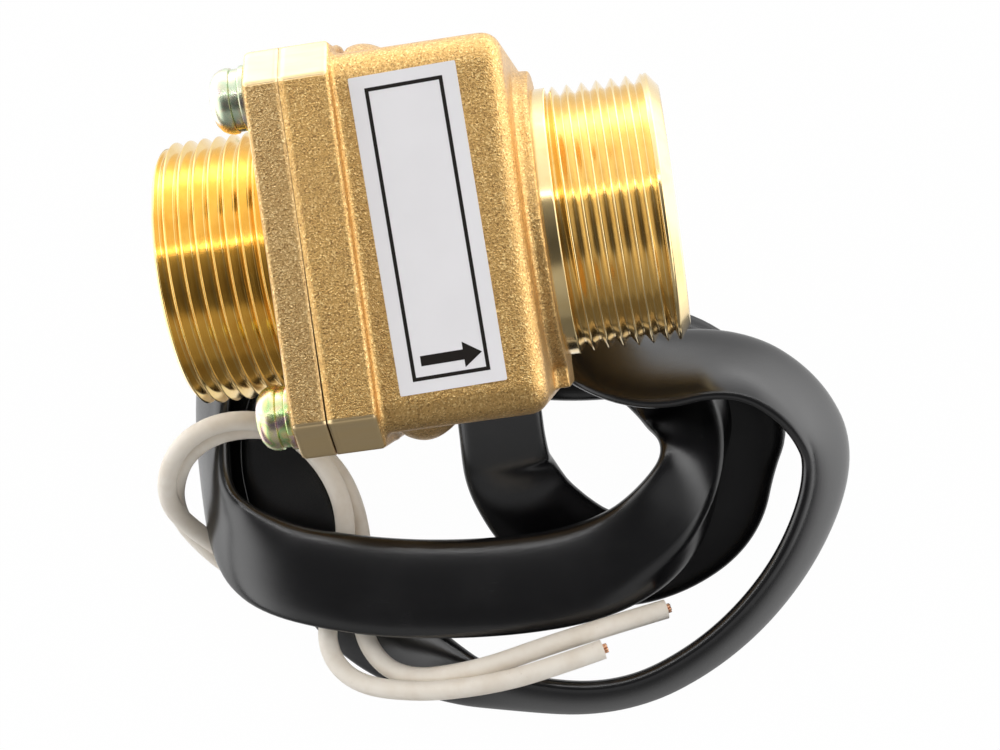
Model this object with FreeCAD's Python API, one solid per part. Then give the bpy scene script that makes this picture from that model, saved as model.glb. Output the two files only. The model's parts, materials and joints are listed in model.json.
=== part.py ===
import FreeCAD, Part
import math
import os

"""Inline flow switch: threaded brass body, spring-loaded magnet shuttle, reed switch and flat cable.

All sizes are millimetres.  X is the flow axis (inlet mouth at X = 0, flow towards +X), Z points out
of the labelled side, and the part lies on its back on its own cable, so the floor is at FLOOR_Z.
"""

V = FreeCAD.Vector
AXIS_X = V(1, 0, 0)

# ---- threads (G 1 1/4, plain at major diameter) ----
THREAD_R = 20.955
THREAD_DEPTH = 1.475
INLET_THREAD_LEN = 18.7
OUTLET_THREAD_LEN = 12.8
RELIEF_LEN = 2.2
MOUTH_CHAMFER_X = 1.7
MOUTH_CHAMFER_R = 2.2

# ---- flange pair ----
FLANGE_CORNER = 5.0
COVER_THICK = 5.4
BODY_FLANGE_THICK = 7.4
FLANGE_EDGE_R = 0.5

# ---- cast box and neck ----
BOX_WALL = 7.0
BOX_LEN = 24.7
BOX_EDGE_R = 4.5
BOX_END_R = 3.0
NECK_R = 24.0
NECK_LEN = 5.3
NECK_EDGE_R = 1.6
LUG_WIDTH = 17.0
LUG_DEPTH = 1.6

# ---- water way ----
BORE_R = 15.0
INLET_BORE_LEN = 15.2
INLET_RELIEF_R = 15.6
CHAMBER_R = 21.0
CHAMBER_END_WALL = 2.2
OUTLET_CONE_LEN = 5.0
PILOT_LEN = 2.9
PILOT_FIT = 0.08

# ---- flange seal and screws ----
ORING_FROM_CHAMBER = 3.0
ORING_CORD_R = 1.1
ORING_SQUEEZE = 0.2
ORING_SIDE_GAP = 0.4
SCREW_FROM_CHAMBER = 2.5
SCREW_EDGE = 6.5
SCREW_R = 2.5
SCREW_CLEAR = 0.3
SCREW_THREAD_FIT = 0.04
SCREW_REACH = 14.0
SCREW_HOLE_SPARE = 2.5
HEAD_R = 4.9
HEAD_H = 3.4
HEAD_CROWN = 1.2
RECESS_SPAN = 4.8
RECESS_SLOT = 1.1
RECESS_DEPTH = 1.9
PLAIN_WASHER_R = 5.0
PLAIN_WASHER_T = 1.0
SPRING_WASHER_R = 4.5
SPRING_WASHER_T = 1.3
SPRING_WASHER_GAP = 0.9
WASHER_BORE_CLEAR = 0.2

# ---- valve seat and shuttle ----
SEAT_R_OUT = 17.5
SEAT_WALL = 4.5
SEAT_LEN = 4.0
SEAT_NOSE = 1.2
TRAVEL = 6.0
REST_GAP = 0.05
POPPET_OVERLAP = 3.0
POPPET_T = 3.0
SEAL_T = 2.0
SEAL_LIP = 0.4
WING_COUNT = 4
WING_T = 1.8
WING_LEN = 11.0
WING_RUN = 0.1
FRONT_BOSS_STEP = 2.0
HUB_R = 6.0
STEM_R = 3.0
STEM_PRESS_LEN = 9.0
STEM_TIP_CHAMFER = 0.6
MAGNET_R_OUT = 10.5
MAGNET_LEN = 6.0
MAGNET_FIT = 0.05
KEEPER_R = 9.6
KEEPER_T = 1.0
STEM_CLIP_R = 4.9
STEM_CLIP_T = 0.8
STEM_CLIP_SLOT = 2.4
STEM_GROOVE_DEPTH = 0.6

# ---- return spring ----
SPRING_MEAN_R = 12.6
SPRING_WIRE_R = 0.5
SPRING_TURNS = 4.5
SPRING_END_GAP = 0.05

# ---- outlet guide ----
SPIDER_LEN = 4.0
SPIDER_RIM = 3.2
SPIDER_FIT = 0.08
SPIDER_SPOKES = 4
SPIDER_SPOKE_T = 3.2
SPIDER_HUB_R = 6.6
SPIDER_HUB_LEN = 7.0
SPIDER_SEAT_INSIDE = 1.0
SPIDER_SEAT_OUTSIDE = 1.2
BUSH_R_OUT = 4.6
BUSH_FLANGE_R = 5.6
BUSH_FLANGE_T = 0.8
BUSH_RUN = 0.05
CIRCLIP_T = 1.5
CIRCLIP_BITE = 1.2
CIRCLIP_WIDTH = 2.6
CIRCLIP_GAP_DEG = 34.0
CIRCLIP_SIDE_FIT = 0.05

# ---- reed sensor pocket ----
POCKET_X = 45.0
POCKET_FROM_BACK = 8.5
POCKET_LEN = 19.0
POCKET_WIDTH = 8.4
POCKET_DEPTH = 10.5
BOARD_LEN = 17.0
BOARD_WIDTH = 6.0
BOARD_T = 1.0
BOARD_FLOOR_GAP = 0.6
REED_R = 1.1
REED_LEN = 10.0
REED_WALL = 0.35
REED_SEAL_LEN = 1.3
REED_OVERLAP = 1.6
REED_LEAD_R = 0.28
REED_LEAD_OUT = 2.4
REED_BLADE_GAP = 0.12
REED_BLADE_T = 0.2
REED_BLADE_W = 0.9
REED_STAND = 0.35
REED_SIDE = -1.0
PAD_R = 0.8
PAD_T = 0.9
CORE_R = 0.9
CORE_GAP = 0.15
CORE_LEAD = 1.5
CORE_SPREAD = 6.2
CORE_SIDE = 1.9
SLEEVE_IN_POTTING = 3.5

# ---- label ----
LABEL_LEN = 46.4
LABEL_WIDTH = 15.7
LABEL_T = 0.15
LABEL_FROM_FLANGE = 10.8
LABEL_RISE = 0.7
LABEL_TILT_DEG = -1.2

# ---- cable ----
CABLE_UNDER_BODY = 13.0
CABLE_DATUM = V(45.0, -28.0, -19.5)
SLEEVE_D = 5.0
WIRE_D = 3.4
CONDUCTOR_D = 1.7
CONDUCTOR_OUT = 0.8
ARC_SHARE = 0.45

# ---- sizes that follow from the chamber ----
BOX_SIDE = 2 * (CHAMBER_R + BOX_WALL)
SCREW_PITCH = 2 * (CHAMBER_R + SCREW_FROM_CHAMBER)
FLANGE_SIDE = SCREW_PITCH + 2 * SCREW_EDGE
ORING_MEAN_R = CHAMBER_R + ORING_FROM_CHAMBER
POCKET_Z = POCKET_FROM_BACK - BOX_SIDE / 2
FLOOR_Z = -BOX_SIDE / 2 - CABLE_UNDER_BODY
THREAD_ROOT_R = THREAD_R - THREAD_DEPTH
SEAT_R_IN = SEAT_R_OUT - SEAT_WALL
FRONT_BOSS_R = SEAT_R_IN - FRONT_BOSS_STEP
POPPET_R = SEAT_R_IN + POPPET_OVERLAP
SPIDER_SEAT_R_IN = SPRING_MEAN_R - SPIDER_SEAT_INSIDE
SPIDER_SEAT_R_OUT = SPRING_MEAN_R + SPIDER_SEAT_OUTSIDE

# ---- stations along X ----
FLANGE_X = INLET_THREAD_LEN
JOINT_X = FLANGE_X + COVER_THICK
BOX_X = JOINT_X + BODY_FLANGE_THICK
BOX_END_X = BOX_X + BOX_LEN
NECK_END_X = BOX_END_X + NECK_LEN
OUTLET_THREAD_X = NECK_END_X + RELIEF_LEN
OUTLET_X = OUTLET_THREAD_X + OUTLET_THREAD_LEN + MOUTH_CHAMFER_X
PILOT_END_X = JOINT_X + PILOT_LEN
SEAT_X = PILOT_END_X - SEAT_LEN
SEAL_X = PILOT_END_X + REST_GAP
POPPET_X = SEAL_X + SEAL_T
POPPET_BACK_X = POPPET_X + POPPET_T
MAGNET_END_X = POPPET_BACK_X + MAGNET_LEN
KEEPER_END_X = MAGNET_END_X + KEEPER_T
CHAMBER_END_X = BOX_END_X - CHAMBER_END_WALL
SPIDER_X = CHAMBER_END_X - SPIDER_LEN
CIRCLIP_X = SPIDER_X - CIRCLIP_T - CIRCLIP_SIDE_FIT
STEM_END_X = SPIDER_X + SPIDER_HUB_LEN + 1.0
POCKET_FACE_Y = -BOX_SIDE / 2


def disc(x0, x1, radius, y=0.0, z=0.0):
    """Solid cylinder along X between two stations."""
    return Part.makeCylinder(radius, x1 - x0, V(x0, y, z), AXIS_X)


def ring(x0, x1, r_in, r_out, y=0.0, z=0.0):
    """Washer shape along X between two stations."""
    return disc(x0, x1, r_out, y, z).cut(disc(x0 - 1, x1 + 1, r_in, y, z))


def revolve_profile(points):
    """Solid of revolution about X from (x, r) corner points."""
    corners = [V(x, 0, r) for x, r in points]
    face = Part.Face(Part.makePolygon(corners + corners[:1]))
    return face.revolve(V(0, 0, 0), AXIS_X, 360)


def square_plate(x0, x1, side, corner):
    """Square prism along X with its four long edges cut at 45 degrees."""
    h = side / 2
    c = h - corner
    outline = [(c, h), (h, c), (h, -c), (c, -h), (-c, -h), (-h, -c), (-h, c), (-c, h)]
    points = [V(x0, y, z) for y, z in outline]
    return Part.Face(Part.makePolygon(points + points[:1])).extrude(V(x1 - x0, 0, 0))


def centred_box(x0, x1, width_y, width_z, y=0.0, z=0.0):
    """Box between two X stations, centred on (y, z)."""
    return Part.makeBox(x1 - x0, width_y, width_z, V(x0, y - width_y / 2, z - width_z / 2))


def bar(x0, x1, r0, r1, thickness, angle):
    """Radial bar from r0 to r1, standing at an angle about the X axis."""
    shape = Part.makeBox(x1 - x0, r1 - r0, thickness, V(x0, r0, -thickness / 2))
    shape.rotate(V(0, 0, 0), AXIS_X, angle)
    return shape


def corner_places():
    """The four (y, z) screw places."""
    p = SCREW_PITCH / 2
    return [(p, p), (-p, p), (-p, -p), (p, -p)]


def straight_edges_along_x(shape, x0, x1):
    """Straight edges parallel to X that span a box between two stations."""
    found = []
    for edge in shape.Edges:
        if not isinstance(edge.Curve, Part.Line):
            continue
        a, b = edge.Vertexes[0].Point, edge.Vertexes[-1].Point
        if abs(abs(a.x - b.x) - (x1 - x0)) < 1e-4 and min(a.x, b.x) > x0 - 1e-4:
            found.append(edge)
    return found


def edges_at_x(shape, x, r_min=0.0):
    """Edges lying wholly in the plane at one X station, outside a radius."""
    found = []
    for edge in shape.Edges:
        box = edge.BoundBox
        middle = edge.valueAt((edge.FirstParameter + edge.LastParameter) / 2)
        flat = abs(box.XMin - x) < 1e-3 and abs(box.XMax - x) < 1e-3
        if flat and math.hypot(middle.y, middle.z) > r_min:
            found.append(edge)
    return found


def cast_box():
    """Cast chamber box with rounded long edges and a rounded outlet end."""
    box = centred_box(BOX_X - 1, BOX_END_X, BOX_SIDE, BOX_SIDE)
    box = box.makeFillet(BOX_EDGE_R, straight_edges_along_x(box, BOX_X - 1, BOX_END_X))
    return box.makeFillet(BOX_END_R, edges_at_x(box, BOX_END_X))


def neck():
    """Round collar between the box and the outlet thread, with the lower casting lug."""
    x0 = BOX_END_X - BOX_END_R - 1
    collar = disc(x0, NECK_END_X, NECK_R)
    collar = collar.makeChamfer(NECK_EDGE_R, edges_at_x(collar, NECK_END_X))
    lug = centred_box(x0, NECK_END_X - NECK_EDGE_R, NECK_R, LUG_WIDTH, y=-NECK_R / 2 - LUG_DEPTH)
    return collar.fuse(lug)


def outlet_end():
    """Relief, thread blank and chamfered mouth of the outlet."""
    tip = OUTLET_X - MOUTH_CHAMFER_X
    return revolve_profile([
        (NECK_END_X - 1, 0), (NECK_END_X - 1, THREAD_ROOT_R), (OUTLET_THREAD_X, THREAD_ROOT_R),
        (OUTLET_THREAD_X, THREAD_R), (tip, THREAD_R),
        (OUTLET_X, THREAD_R - MOUTH_CHAMFER_R), (OUTLET_X, 0)])


def sensor_pocket():
    """Milled slot with round ends, open at the lower side of the box."""
    h = POCKET_WIDTH / 2
    half = POCKET_LEN / 2 - h
    y0 = POCKET_FACE_Y + POCKET_DEPTH
    corner = V(POCKET_X - half, POCKET_FACE_Y - 1, POCKET_Z - h)
    slot = Part.makeBox(2 * half, POCKET_DEPTH + 1, POCKET_WIDTH, corner)
    for side in (-1, 1):
        centre = V(POCKET_X + side * half, y0, POCKET_Z)
        slot = slot.fuse(Part.makeCylinder(h, POCKET_DEPTH + 1, centre, V(0, -1, 0)))
    return slot.removeSplitter()


def outlet_body():
    """Casting: flange, chamber box, neck and threaded outlet."""
    shape = square_plate(JOINT_X, BOX_X, FLANGE_SIDE, FLANGE_CORNER)
    shape = shape.makeFillet(FLANGE_EDGE_R, edges_at_x(shape, BOX_X))
    shape = shape.fuse([cast_box(), neck(), outlet_end()])
    cavity = revolve_profile([
        (JOINT_X - 1, 0), (JOINT_X - 1, CHAMBER_R),
        (CHAMBER_END_X, CHAMBER_R), (CHAMBER_END_X, CHAMBER_R - SPIDER_RIM),
        (CHAMBER_END_X + OUTLET_CONE_LEN, BORE_R), (OUTLET_X + 1, BORE_R), (OUTLET_X + 1, 0)])
    groove = ring(CIRCLIP_X, SPIDER_X, CHAMBER_R - 1, CHAMBER_R + CIRCLIP_BITE)
    shape = shape.cut(cavity).cut(groove).cut(sensor_pocket())
    hole_end = FLANGE_X - screw_stack() + SCREW_REACH + SCREW_HOLE_SPARE
    for y, z in corner_places():
        shape = shape.cut(disc(JOINT_X - 1, hole_end, SCREW_R, y, z))
        shape = shape.cut(Part.makeCone(SCREW_R, 0.01, SCREW_R, V(hole_end, y, z), AXIS_X))
    return shape.removeSplitter()


def inlet_cover():
    """Cover plate with the threaded inlet spigot, pilot, seat recess and seal groove."""
    plate = square_plate(FLANGE_X, JOINT_X, FLANGE_SIDE, FLANGE_CORNER)
    plate = plate.makeFillet(FLANGE_EDGE_R, edges_at_x(plate, FLANGE_X))
    spigot = revolve_profile([
        (0, 0), (0, THREAD_R - MOUTH_CHAMFER_R / 2), (MOUTH_CHAMFER_X / 2, THREAD_R),
        (FLANGE_X + 1, THREAD_R), (FLANGE_X + 1, 0)])
    pilot = disc(JOINT_X - 1, PILOT_END_X, CHAMBER_R - PILOT_FIT)
    shape = plate.fuse([spigot, pilot])
    shape = shape.cut(disc(-1, PILOT_END_X + 1, BORE_R))
    shape = shape.cut(disc(INLET_BORE_LEN, PILOT_END_X + 1, INLET_RELIEF_R))
    shape = shape.cut(disc(SEAT_X, PILOT_END_X + 1, SEAT_R_OUT))
    depth = 2 * ORING_CORD_R - ORING_SQUEEZE
    side = ORING_CORD_R + ORING_SIDE_GAP
    shape = shape.cut(ring(JOINT_X - depth, JOINT_X + 1, ORING_MEAN_R - side, ORING_MEAN_R + side).cut(
        disc(JOINT_X - 5, JOINT_X + 5, ORING_MEAN_R - side)))
    for y, z in corner_places():
        shape = shape.cut(disc(FLANGE_X - 1, JOINT_X + 1, SCREW_R + SCREW_CLEAR, y, z))
    return shape.removeSplitter()


def cover_oring():
    """Face seal squeezed flat between the cover groove and the body flange."""
    depth = 2 * ORING_CORD_R - ORING_SQUEEZE
    cord = Part.makeTorus(ORING_MEAN_R, ORING_CORD_R, V(JOINT_X - depth / 2, 0, 0), AXIS_X)
    return cord.common(ring(JOINT_X - depth, JOINT_X, ORING_MEAN_R - 2, ORING_MEAN_R + 2))


def screw_stack():
    """Height of the washers under each screw head."""
    return PLAIN_WASHER_T + SPRING_WASHER_T


def cover_screw(y, z):
    """Pan head screw with a cross recess, seated on its washers."""
    seat = FLANGE_X - screw_stack()
    head = disc(seat - HEAD_H, seat, HEAD_R, y, z)
    head = head.makeFillet(HEAD_CROWN, edges_at_x(head, seat - HEAD_H))
    shank = disc(seat - 0.5, seat + SCREW_REACH, SCREW_R - SCREW_THREAD_FIT, y, z)
    shank = shank.makeChamfer(0.5, edges_at_x(shank, seat + SCREW_REACH))
    recess_a = centred_box(seat - HEAD_H - 1, seat - HEAD_H + RECESS_DEPTH, RECESS_SPAN, RECESS_SLOT, y, z)
    recess_b = centred_box(seat - HEAD_H - 1, seat - HEAD_H + RECESS_DEPTH, RECESS_SLOT, RECESS_SPAN, y, z)
    return head.fuse(shank).cut(recess_a.fuse(recess_b))


def plain_washer(y, z):
    """Flat washer against the cover plate."""
    return ring(FLANGE_X - PLAIN_WASHER_T, FLANGE_X, SCREW_R + WASHER_BORE_CLEAR, PLAIN_WASHER_R, y, z)


def spring_washer(y, z):
    """Split washer under the screw head."""
    x1 = FLANGE_X - PLAIN_WASHER_T
    shape = ring(x1 - SPRING_WASHER_T, x1, SCREW_R + WASHER_BORE_CLEAR, SPRING_WASHER_R, y, z)
    sign = 1 if z > 0 else -1
    split = centred_box(x1 - SPRING_WASHER_T - 1, x1 + 1, SPRING_WASHER_GAP, SPRING_WASHER_R + 1,
                        y, z + sign * (SPRING_WASHER_R + 1) / 2)
    return shape.cut(split)


def seat_ring():
    """Replaceable seat pressed into the cover pilot."""
    return revolve_profile([
        (SEAT_X, SEAT_R_IN), (SEAT_X, SEAT_R_OUT), (PILOT_END_X - SEAT_NOSE, SEAT_R_OUT),
        (PILOT_END_X, SEAT_R_OUT - SEAT_NOSE), (PILOT_END_X, SEAT_R_IN)])


def poppet():
    """Moulded shuttle: front guide wings, sealing disc, magnet hub."""
    shape = revolve_profile([
        (SEAL_X, 0), (SEAL_X, FRONT_BOSS_R), (POPPET_X, FRONT_BOSS_R), (POPPET_X, POPPET_R),
        (POPPET_BACK_X - 1.0, POPPET_R), (POPPET_BACK_X, POPPET_R - 1.0), (POPPET_BACK_X, HUB_R),
        (MAGNET_END_X, HUB_R), (MAGNET_END_X, 0)])
    nose = Part.makeCone(1.5, FRONT_BOSS_R - 2.5, WING_LEN - 2, V(SEAL_X - WING_LEN + 2, 0, 0), AXIS_X)
    shape = shape.fuse(nose)
    wing_r = SEAT_R_IN - WING_RUN
    for k in range(WING_COUNT):
        wing = bar(SEAL_X - WING_LEN, SEAL_X, 0, wing_r, WING_T, 45 + k * 360 / WING_COUNT)
        shape = shape.fuse(wing.common(disc(SEAL_X - WING_LEN, SEAL_X, wing_r)))
    bore_x = MAGNET_END_X - STEM_PRESS_LEN
    return shape.cut(disc(bore_x, MAGNET_END_X + 1, STEM_R)).removeSplitter()


def seal_disc():
    """Rubber face seal carried around the front boss of the poppet."""
    return ring(SEAL_X, POPPET_X, FRONT_BOSS_R, POPPET_R - SEAL_LIP)


def guide_stem():
    """Stainless rod pressed into the poppet, running in the outlet bush."""
    x0 = MAGNET_END_X - STEM_PRESS_LEN
    rod = disc(x0, STEM_END_X, STEM_R)
    rod = rod.makeChamfer(STEM_TIP_CHAMFER, edges_at_x(rod, STEM_END_X))
    groove = ring(KEEPER_END_X, KEEPER_END_X + STEM_CLIP_T, STEM_R - STEM_GROOVE_DEPTH, STEM_R + 1)
    return rod.cut(groove)


def magnet_ring():
    """Axially magnetised ring on the poppet hub."""
    return ring(POPPET_BACK_X, MAGNET_END_X, HUB_R + MAGNET_FIT, MAGNET_R_OUT)


def magnet_keeper():
    """Washer that holds the magnet against the poppet."""
    return ring(MAGNET_END_X, KEEPER_END_X, STEM_R + MAGNET_FIT, KEEPER_R)


def stem_clip():
    """Open clip in the stem groove behind the keeper."""
    x0, x1 = KEEPER_END_X, KEEPER_END_X + STEM_CLIP_T
    shape = ring(x0, x1, STEM_R - STEM_GROOVE_DEPTH, STEM_CLIP_R)
    mouth = centred_box(x0 - 1, x1 + 1, STEM_CLIP_SLOT, STEM_CLIP_R + 1, 0, (STEM_CLIP_R + 1) / 2)
    return shape.cut(mouth)


def return_spring():
    """Compression spring of half turns, each a tilted semicircle that runs on into the next."""
    x0 = POPPET_BACK_X + SPRING_END_GAP + SPRING_WIRE_R
    x1 = SPIDER_X - SPRING_END_GAP - SPRING_WIRE_R
    halves = int(2 * SPRING_TURNS)
    step = (x1 - x0) / halves
    reach = math.hypot(SPRING_MEAN_R, step / 2)
    edges = []
    for k in range(halves):
        side = 1 if k % 2 == 0 else -1
        start = V(x0 + k * step, side * SPRING_MEAN_R, 0)
        middle = V(x0 + (k + 0.5) * step, 0, side * reach)
        end = V(x0 + (k + 1) * step, -side * SPRING_MEAN_R, 0)
        edges.append(Part.Arc(start, middle, end).toShape())
    section = Part.Wire([Part.makeCircle(SPRING_WIRE_R, V(x0, SPRING_MEAN_R, 0), V(0, 0, 1))])
    return Part.Wire(edges).makePipeShell([section], True, False)


def outlet_spider():
    """Guide that carries the stem bush and the spring seat in the chamber end."""
    rim_r = CHAMBER_R - SPIDER_FIT
    shape = ring(SPIDER_X, CHAMBER_END_X, rim_r - SPIDER_RIM, rim_r)
    shape = shape.fuse(disc(SPIDER_X, SPIDER_X + SPIDER_HUB_LEN, SPIDER_HUB_R))
    shape = shape.fuse(ring(SPIDER_X, SPIDER_X + 1.4, SPIDER_SEAT_R_IN, SPIDER_SEAT_R_OUT))
    for k in range(SPIDER_SPOKES):
        angle = 45 + k * 360 / SPIDER_SPOKES
        shape = shape.fuse(bar(SPIDER_X, CHAMBER_END_X, 0, rim_r - 0.5, SPIDER_SPOKE_T, angle))
    bore = disc(SPIDER_X - 1, SPIDER_X + SPIDER_HUB_LEN + 1, BUSH_R_OUT)
    counterbore = disc(SPIDER_X - 1, SPIDER_X + BUSH_FLANGE_T, BUSH_FLANGE_R)
    return shape.cut(bore).cut(counterbore).removeSplitter()


def guide_bush():
    """Flanged plain bush for the stem."""
    sleeve = ring(SPIDER_X, SPIDER_X + SPIDER_HUB_LEN, STEM_R + BUSH_RUN, BUSH_R_OUT)
    collar = ring(SPIDER_X, SPIDER_X + BUSH_FLANGE_T, STEM_R + BUSH_RUN, BUSH_FLANGE_R)
    return sleeve.fuse(collar).removeSplitter()


def retaining_ring():
    """Internal retaining ring that traps the spider, with plier eyes at its open ends."""
    x0 = CIRCLIP_X + CIRCLIP_SIDE_FIT
    r_out = CHAMBER_R + CIRCLIP_BITE
    r_in = r_out - CIRCLIP_WIDTH
    shape = ring(x0, SPIDER_X, r_in, r_out)
    half = math.radians(CIRCLIP_GAP_DEG / 2)
    reach = r_out + 2
    wedge_points = [V(x0 - 1, 0, 0), V(x0 - 1, -reach * math.sin(half), reach * math.cos(half)),
                    V(x0 - 1, reach * math.sin(half), reach * math.cos(half))]
    wedge = Part.Face(Part.makePolygon(wedge_points + wedge_points[:1])).extrude(V(CIRCLIP_T + 2, 0, 0))
    shape = shape.cut(wedge)
    for side in (-1, 1):
        angle = side * (half + 0.1)
        y, z = (r_in + 0.2) * math.sin(angle), (r_in + 0.2) * math.cos(angle)
        eye = disc(x0, SPIDER_X, 1.5, y, z).common(disc(x0 - 1, SPIDER_X + 1, r_out))
        shape = shape.fuse(eye).cut(disc(x0 - 1, SPIDER_X + 1, 0.7, y, z))
    return shape.removeSplitter()


def board_top_y():
    """Y of the board face that carries the reed switch."""
    return POCKET_FACE_Y + POCKET_DEPTH - BOARD_FLOOR_GAP - BOARD_T


def reed_axis_y():
    """Y of the reed switch axis, standing just off its board."""
    return board_top_y() - REED_STAND - REED_R


def reed_axis_z():
    """Z of the reed switch axis, to one side of the core pads."""
    return POCKET_Z + REED_SIDE


def reed_blades():
    """Two nickel-iron reeds that overlap at the contact gap, with leads bent down to the board."""
    y = reed_axis_y()
    solids = []
    for side in (-1, 1):
        z = reed_axis_z()
        x_seal = POCKET_X + side * (REED_LEN / 2 - REED_SEAL_LEN - 0.4)
        x_tip = POCKET_X - side * REED_OVERLAP / 2
        x_end = POCKET_X + side * (REED_LEN / 2 + REED_LEAD_OUT)
        offset = side * (REED_BLADE_GAP + REED_BLADE_T) / 2
        x_root = x_seal + side * 0.3
        corner = V(min(x_root, x_tip), y - REED_BLADE_W / 2, z + offset - REED_BLADE_T / 2)
        blade = Part.makeBox(abs(x_root - x_tip), REED_BLADE_W, REED_BLADE_T, corner)
        lead_len = abs(x_end - x_seal) - REED_LEAD_R
        lead = Part.makeCylinder(REED_LEAD_R, lead_len, V(x_seal, y, z), V(side, 0, 0))
        foot = Part.makeBox(2.2 * REED_LEAD_R, board_top_y() - y + 1.1 * REED_LEAD_R, 2.2 * REED_LEAD_R,
                            V(x_end - 1.1 * REED_LEAD_R, y - 1.1 * REED_LEAD_R, z - 1.1 * REED_LEAD_R))
        solids.append(blade.fuse([lead, foot]).removeSplitter())
    return Part.makeCompound(solids)


def reed_capsule():
    """Outer form of the glass capsule."""
    x0, x1 = POCKET_X - REED_LEN / 2, POCKET_X + REED_LEN / 2
    capsule = disc(x0, x1, REED_R, reed_axis_y(), reed_axis_z())
    return capsule.makeFillet(REED_R * 0.6, edges_at_x(capsule, x0) + edges_at_x(capsule, x1))


def reed_glass():
    """Hollow glass capsule sealed on the two leads."""
    half = REED_LEN / 2 - REED_SEAL_LEN
    hollow = disc(POCKET_X - half, POCKET_X + half, REED_R - REED_WALL, reed_axis_y(), reed_axis_z())
    return reed_capsule().cut(hollow).cut(reed_blades())


def reed_board():
    """Small circuit board in the bottom of the pocket."""
    y0 = board_top_y()
    return Part.makeBox(BOARD_LEN - 2, BOARD_T, BOARD_WIDTH,
                        V(POCKET_X - BOARD_LEN / 2 + 1, y0, POCKET_Z - BOARD_WIDTH / 2))


def sleeve_mouth_y():
    """Y where the flat sleeve ends inside the potting."""
    return POCKET_FACE_Y + SLEEVE_IN_POTTING


def inner_cores():
    """The two insulated cores between the sleeve mouth and the board."""
    mouth, outside = sleeve_route()[:2]
    inward = (mouth - outside).normalize()
    across = V(0, 0, 1).cross(inward).normalize()
    y1 = board_top_y() - PAD_T
    z1 = POCKET_Z + CORE_SIDE
    solids = []
    for side in (-1, 1):
        start = mouth - across * (side * (CORE_R + CORE_GAP))
        x1 = POCKET_X + side * CORE_SPREAD
        route = [start, start + inward * CORE_LEAD, V(x1, y1 - CORE_LEAD, z1), V(x1, y1, z1)]
        solids.append(tube(route, CORE_R, share=0.4))
    return Part.makeCompound(solids)


def solder_pads():
    """Solder joints of the two cores on the board."""
    y1 = board_top_y()
    pads = []
    for side in (-1, 1):
        centre = V(POCKET_X + side * CORE_SPREAD, y1 - PAD_T, POCKET_Z + CORE_SIDE)
        pads.append(Part.makeCylinder(CORE_R, PAD_T, centre, V(0, 1, 0)))
    return Part.makeCompound(pads)


def pocket_potting(embedded):
    """Resin that fills the pocket around everything in it."""
    fill = sensor_pocket().common(Part.makeBox(
        POCKET_LEN + 2, POCKET_DEPTH - 0.3, POCKET_WIDTH + 2,
        V(POCKET_X - POCKET_LEN / 2 - 1, POCKET_FACE_Y + 0.3, POCKET_Z - POCKET_WIDTH / 2 - 1)))
    for shape in embedded:
        fill = fill.cut(shape)
    return fill


def flow_label():
    """Adhesive label on the front of the box."""
    x = BOX_X + LABEL_FROM_FLANGE
    shape = Part.makeBox(LABEL_WIDTH, LABEL_LEN, LABEL_T,
                         V(x - LABEL_WIDTH / 2, LABEL_RISE - LABEL_LEN / 2, BOX_SIDE / 2))
    shape.rotate(V(x, LABEL_RISE, 0), V(0, 0, 1), LABEL_TILT_DEG)
    return shape


def tangent_route(points, share=ARC_SHARE):
    """Straight runs joined by tangent arcs, with the arc radii and the total length."""
    edges, radii = [], []
    start = points[0]
    for before, corner, after in zip(points, points[1:], points[2:]):
        a = (before - corner)
        b = (after - corner)
        setback = share * min(a.Length, b.Length)
        turn = math.pi - a.getAngle(b)
        radii.append(setback / math.tan(turn / 2))
        a.normalize()
        b.normalize()
        p, q = corner + a * setback, corner + b * setback
        half = (p + q) * 0.5 - corner
        half.normalize()
        centre_dist = setback / math.cos((math.pi - turn) / 2)
        middle = corner + half * (centre_dist - radii[-1])
        edges.append(Part.LineSegment(start, p).toShape())
        edges.append(Part.Arc(p, middle, q).toShape())
        start = q
    edges.append(Part.LineSegment(start, points[-1]).toShape())
    return edges, radii


def tube(points, radius, share=ARC_SHARE):
    """Round tube along a route of straight runs and tangent arcs."""
    edges, _ = tangent_route(points, share)
    path = Part.Wire(edges)
    direction = points[1] - points[0]
    section = Part.Wire([Part.makeCircle(radius, points[0], direction)])
    return path.makePipeShell([section], True, False)


def placed(points):
    """Cable points, listed for the pocket mouth at CABLE_DATUM, moved along with the pocket."""
    shift = V(POCKET_X, POCKET_FACE_Y, POCKET_Z) - CABLE_DATUM
    return [V(*point) + shift for point in points]


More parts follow.
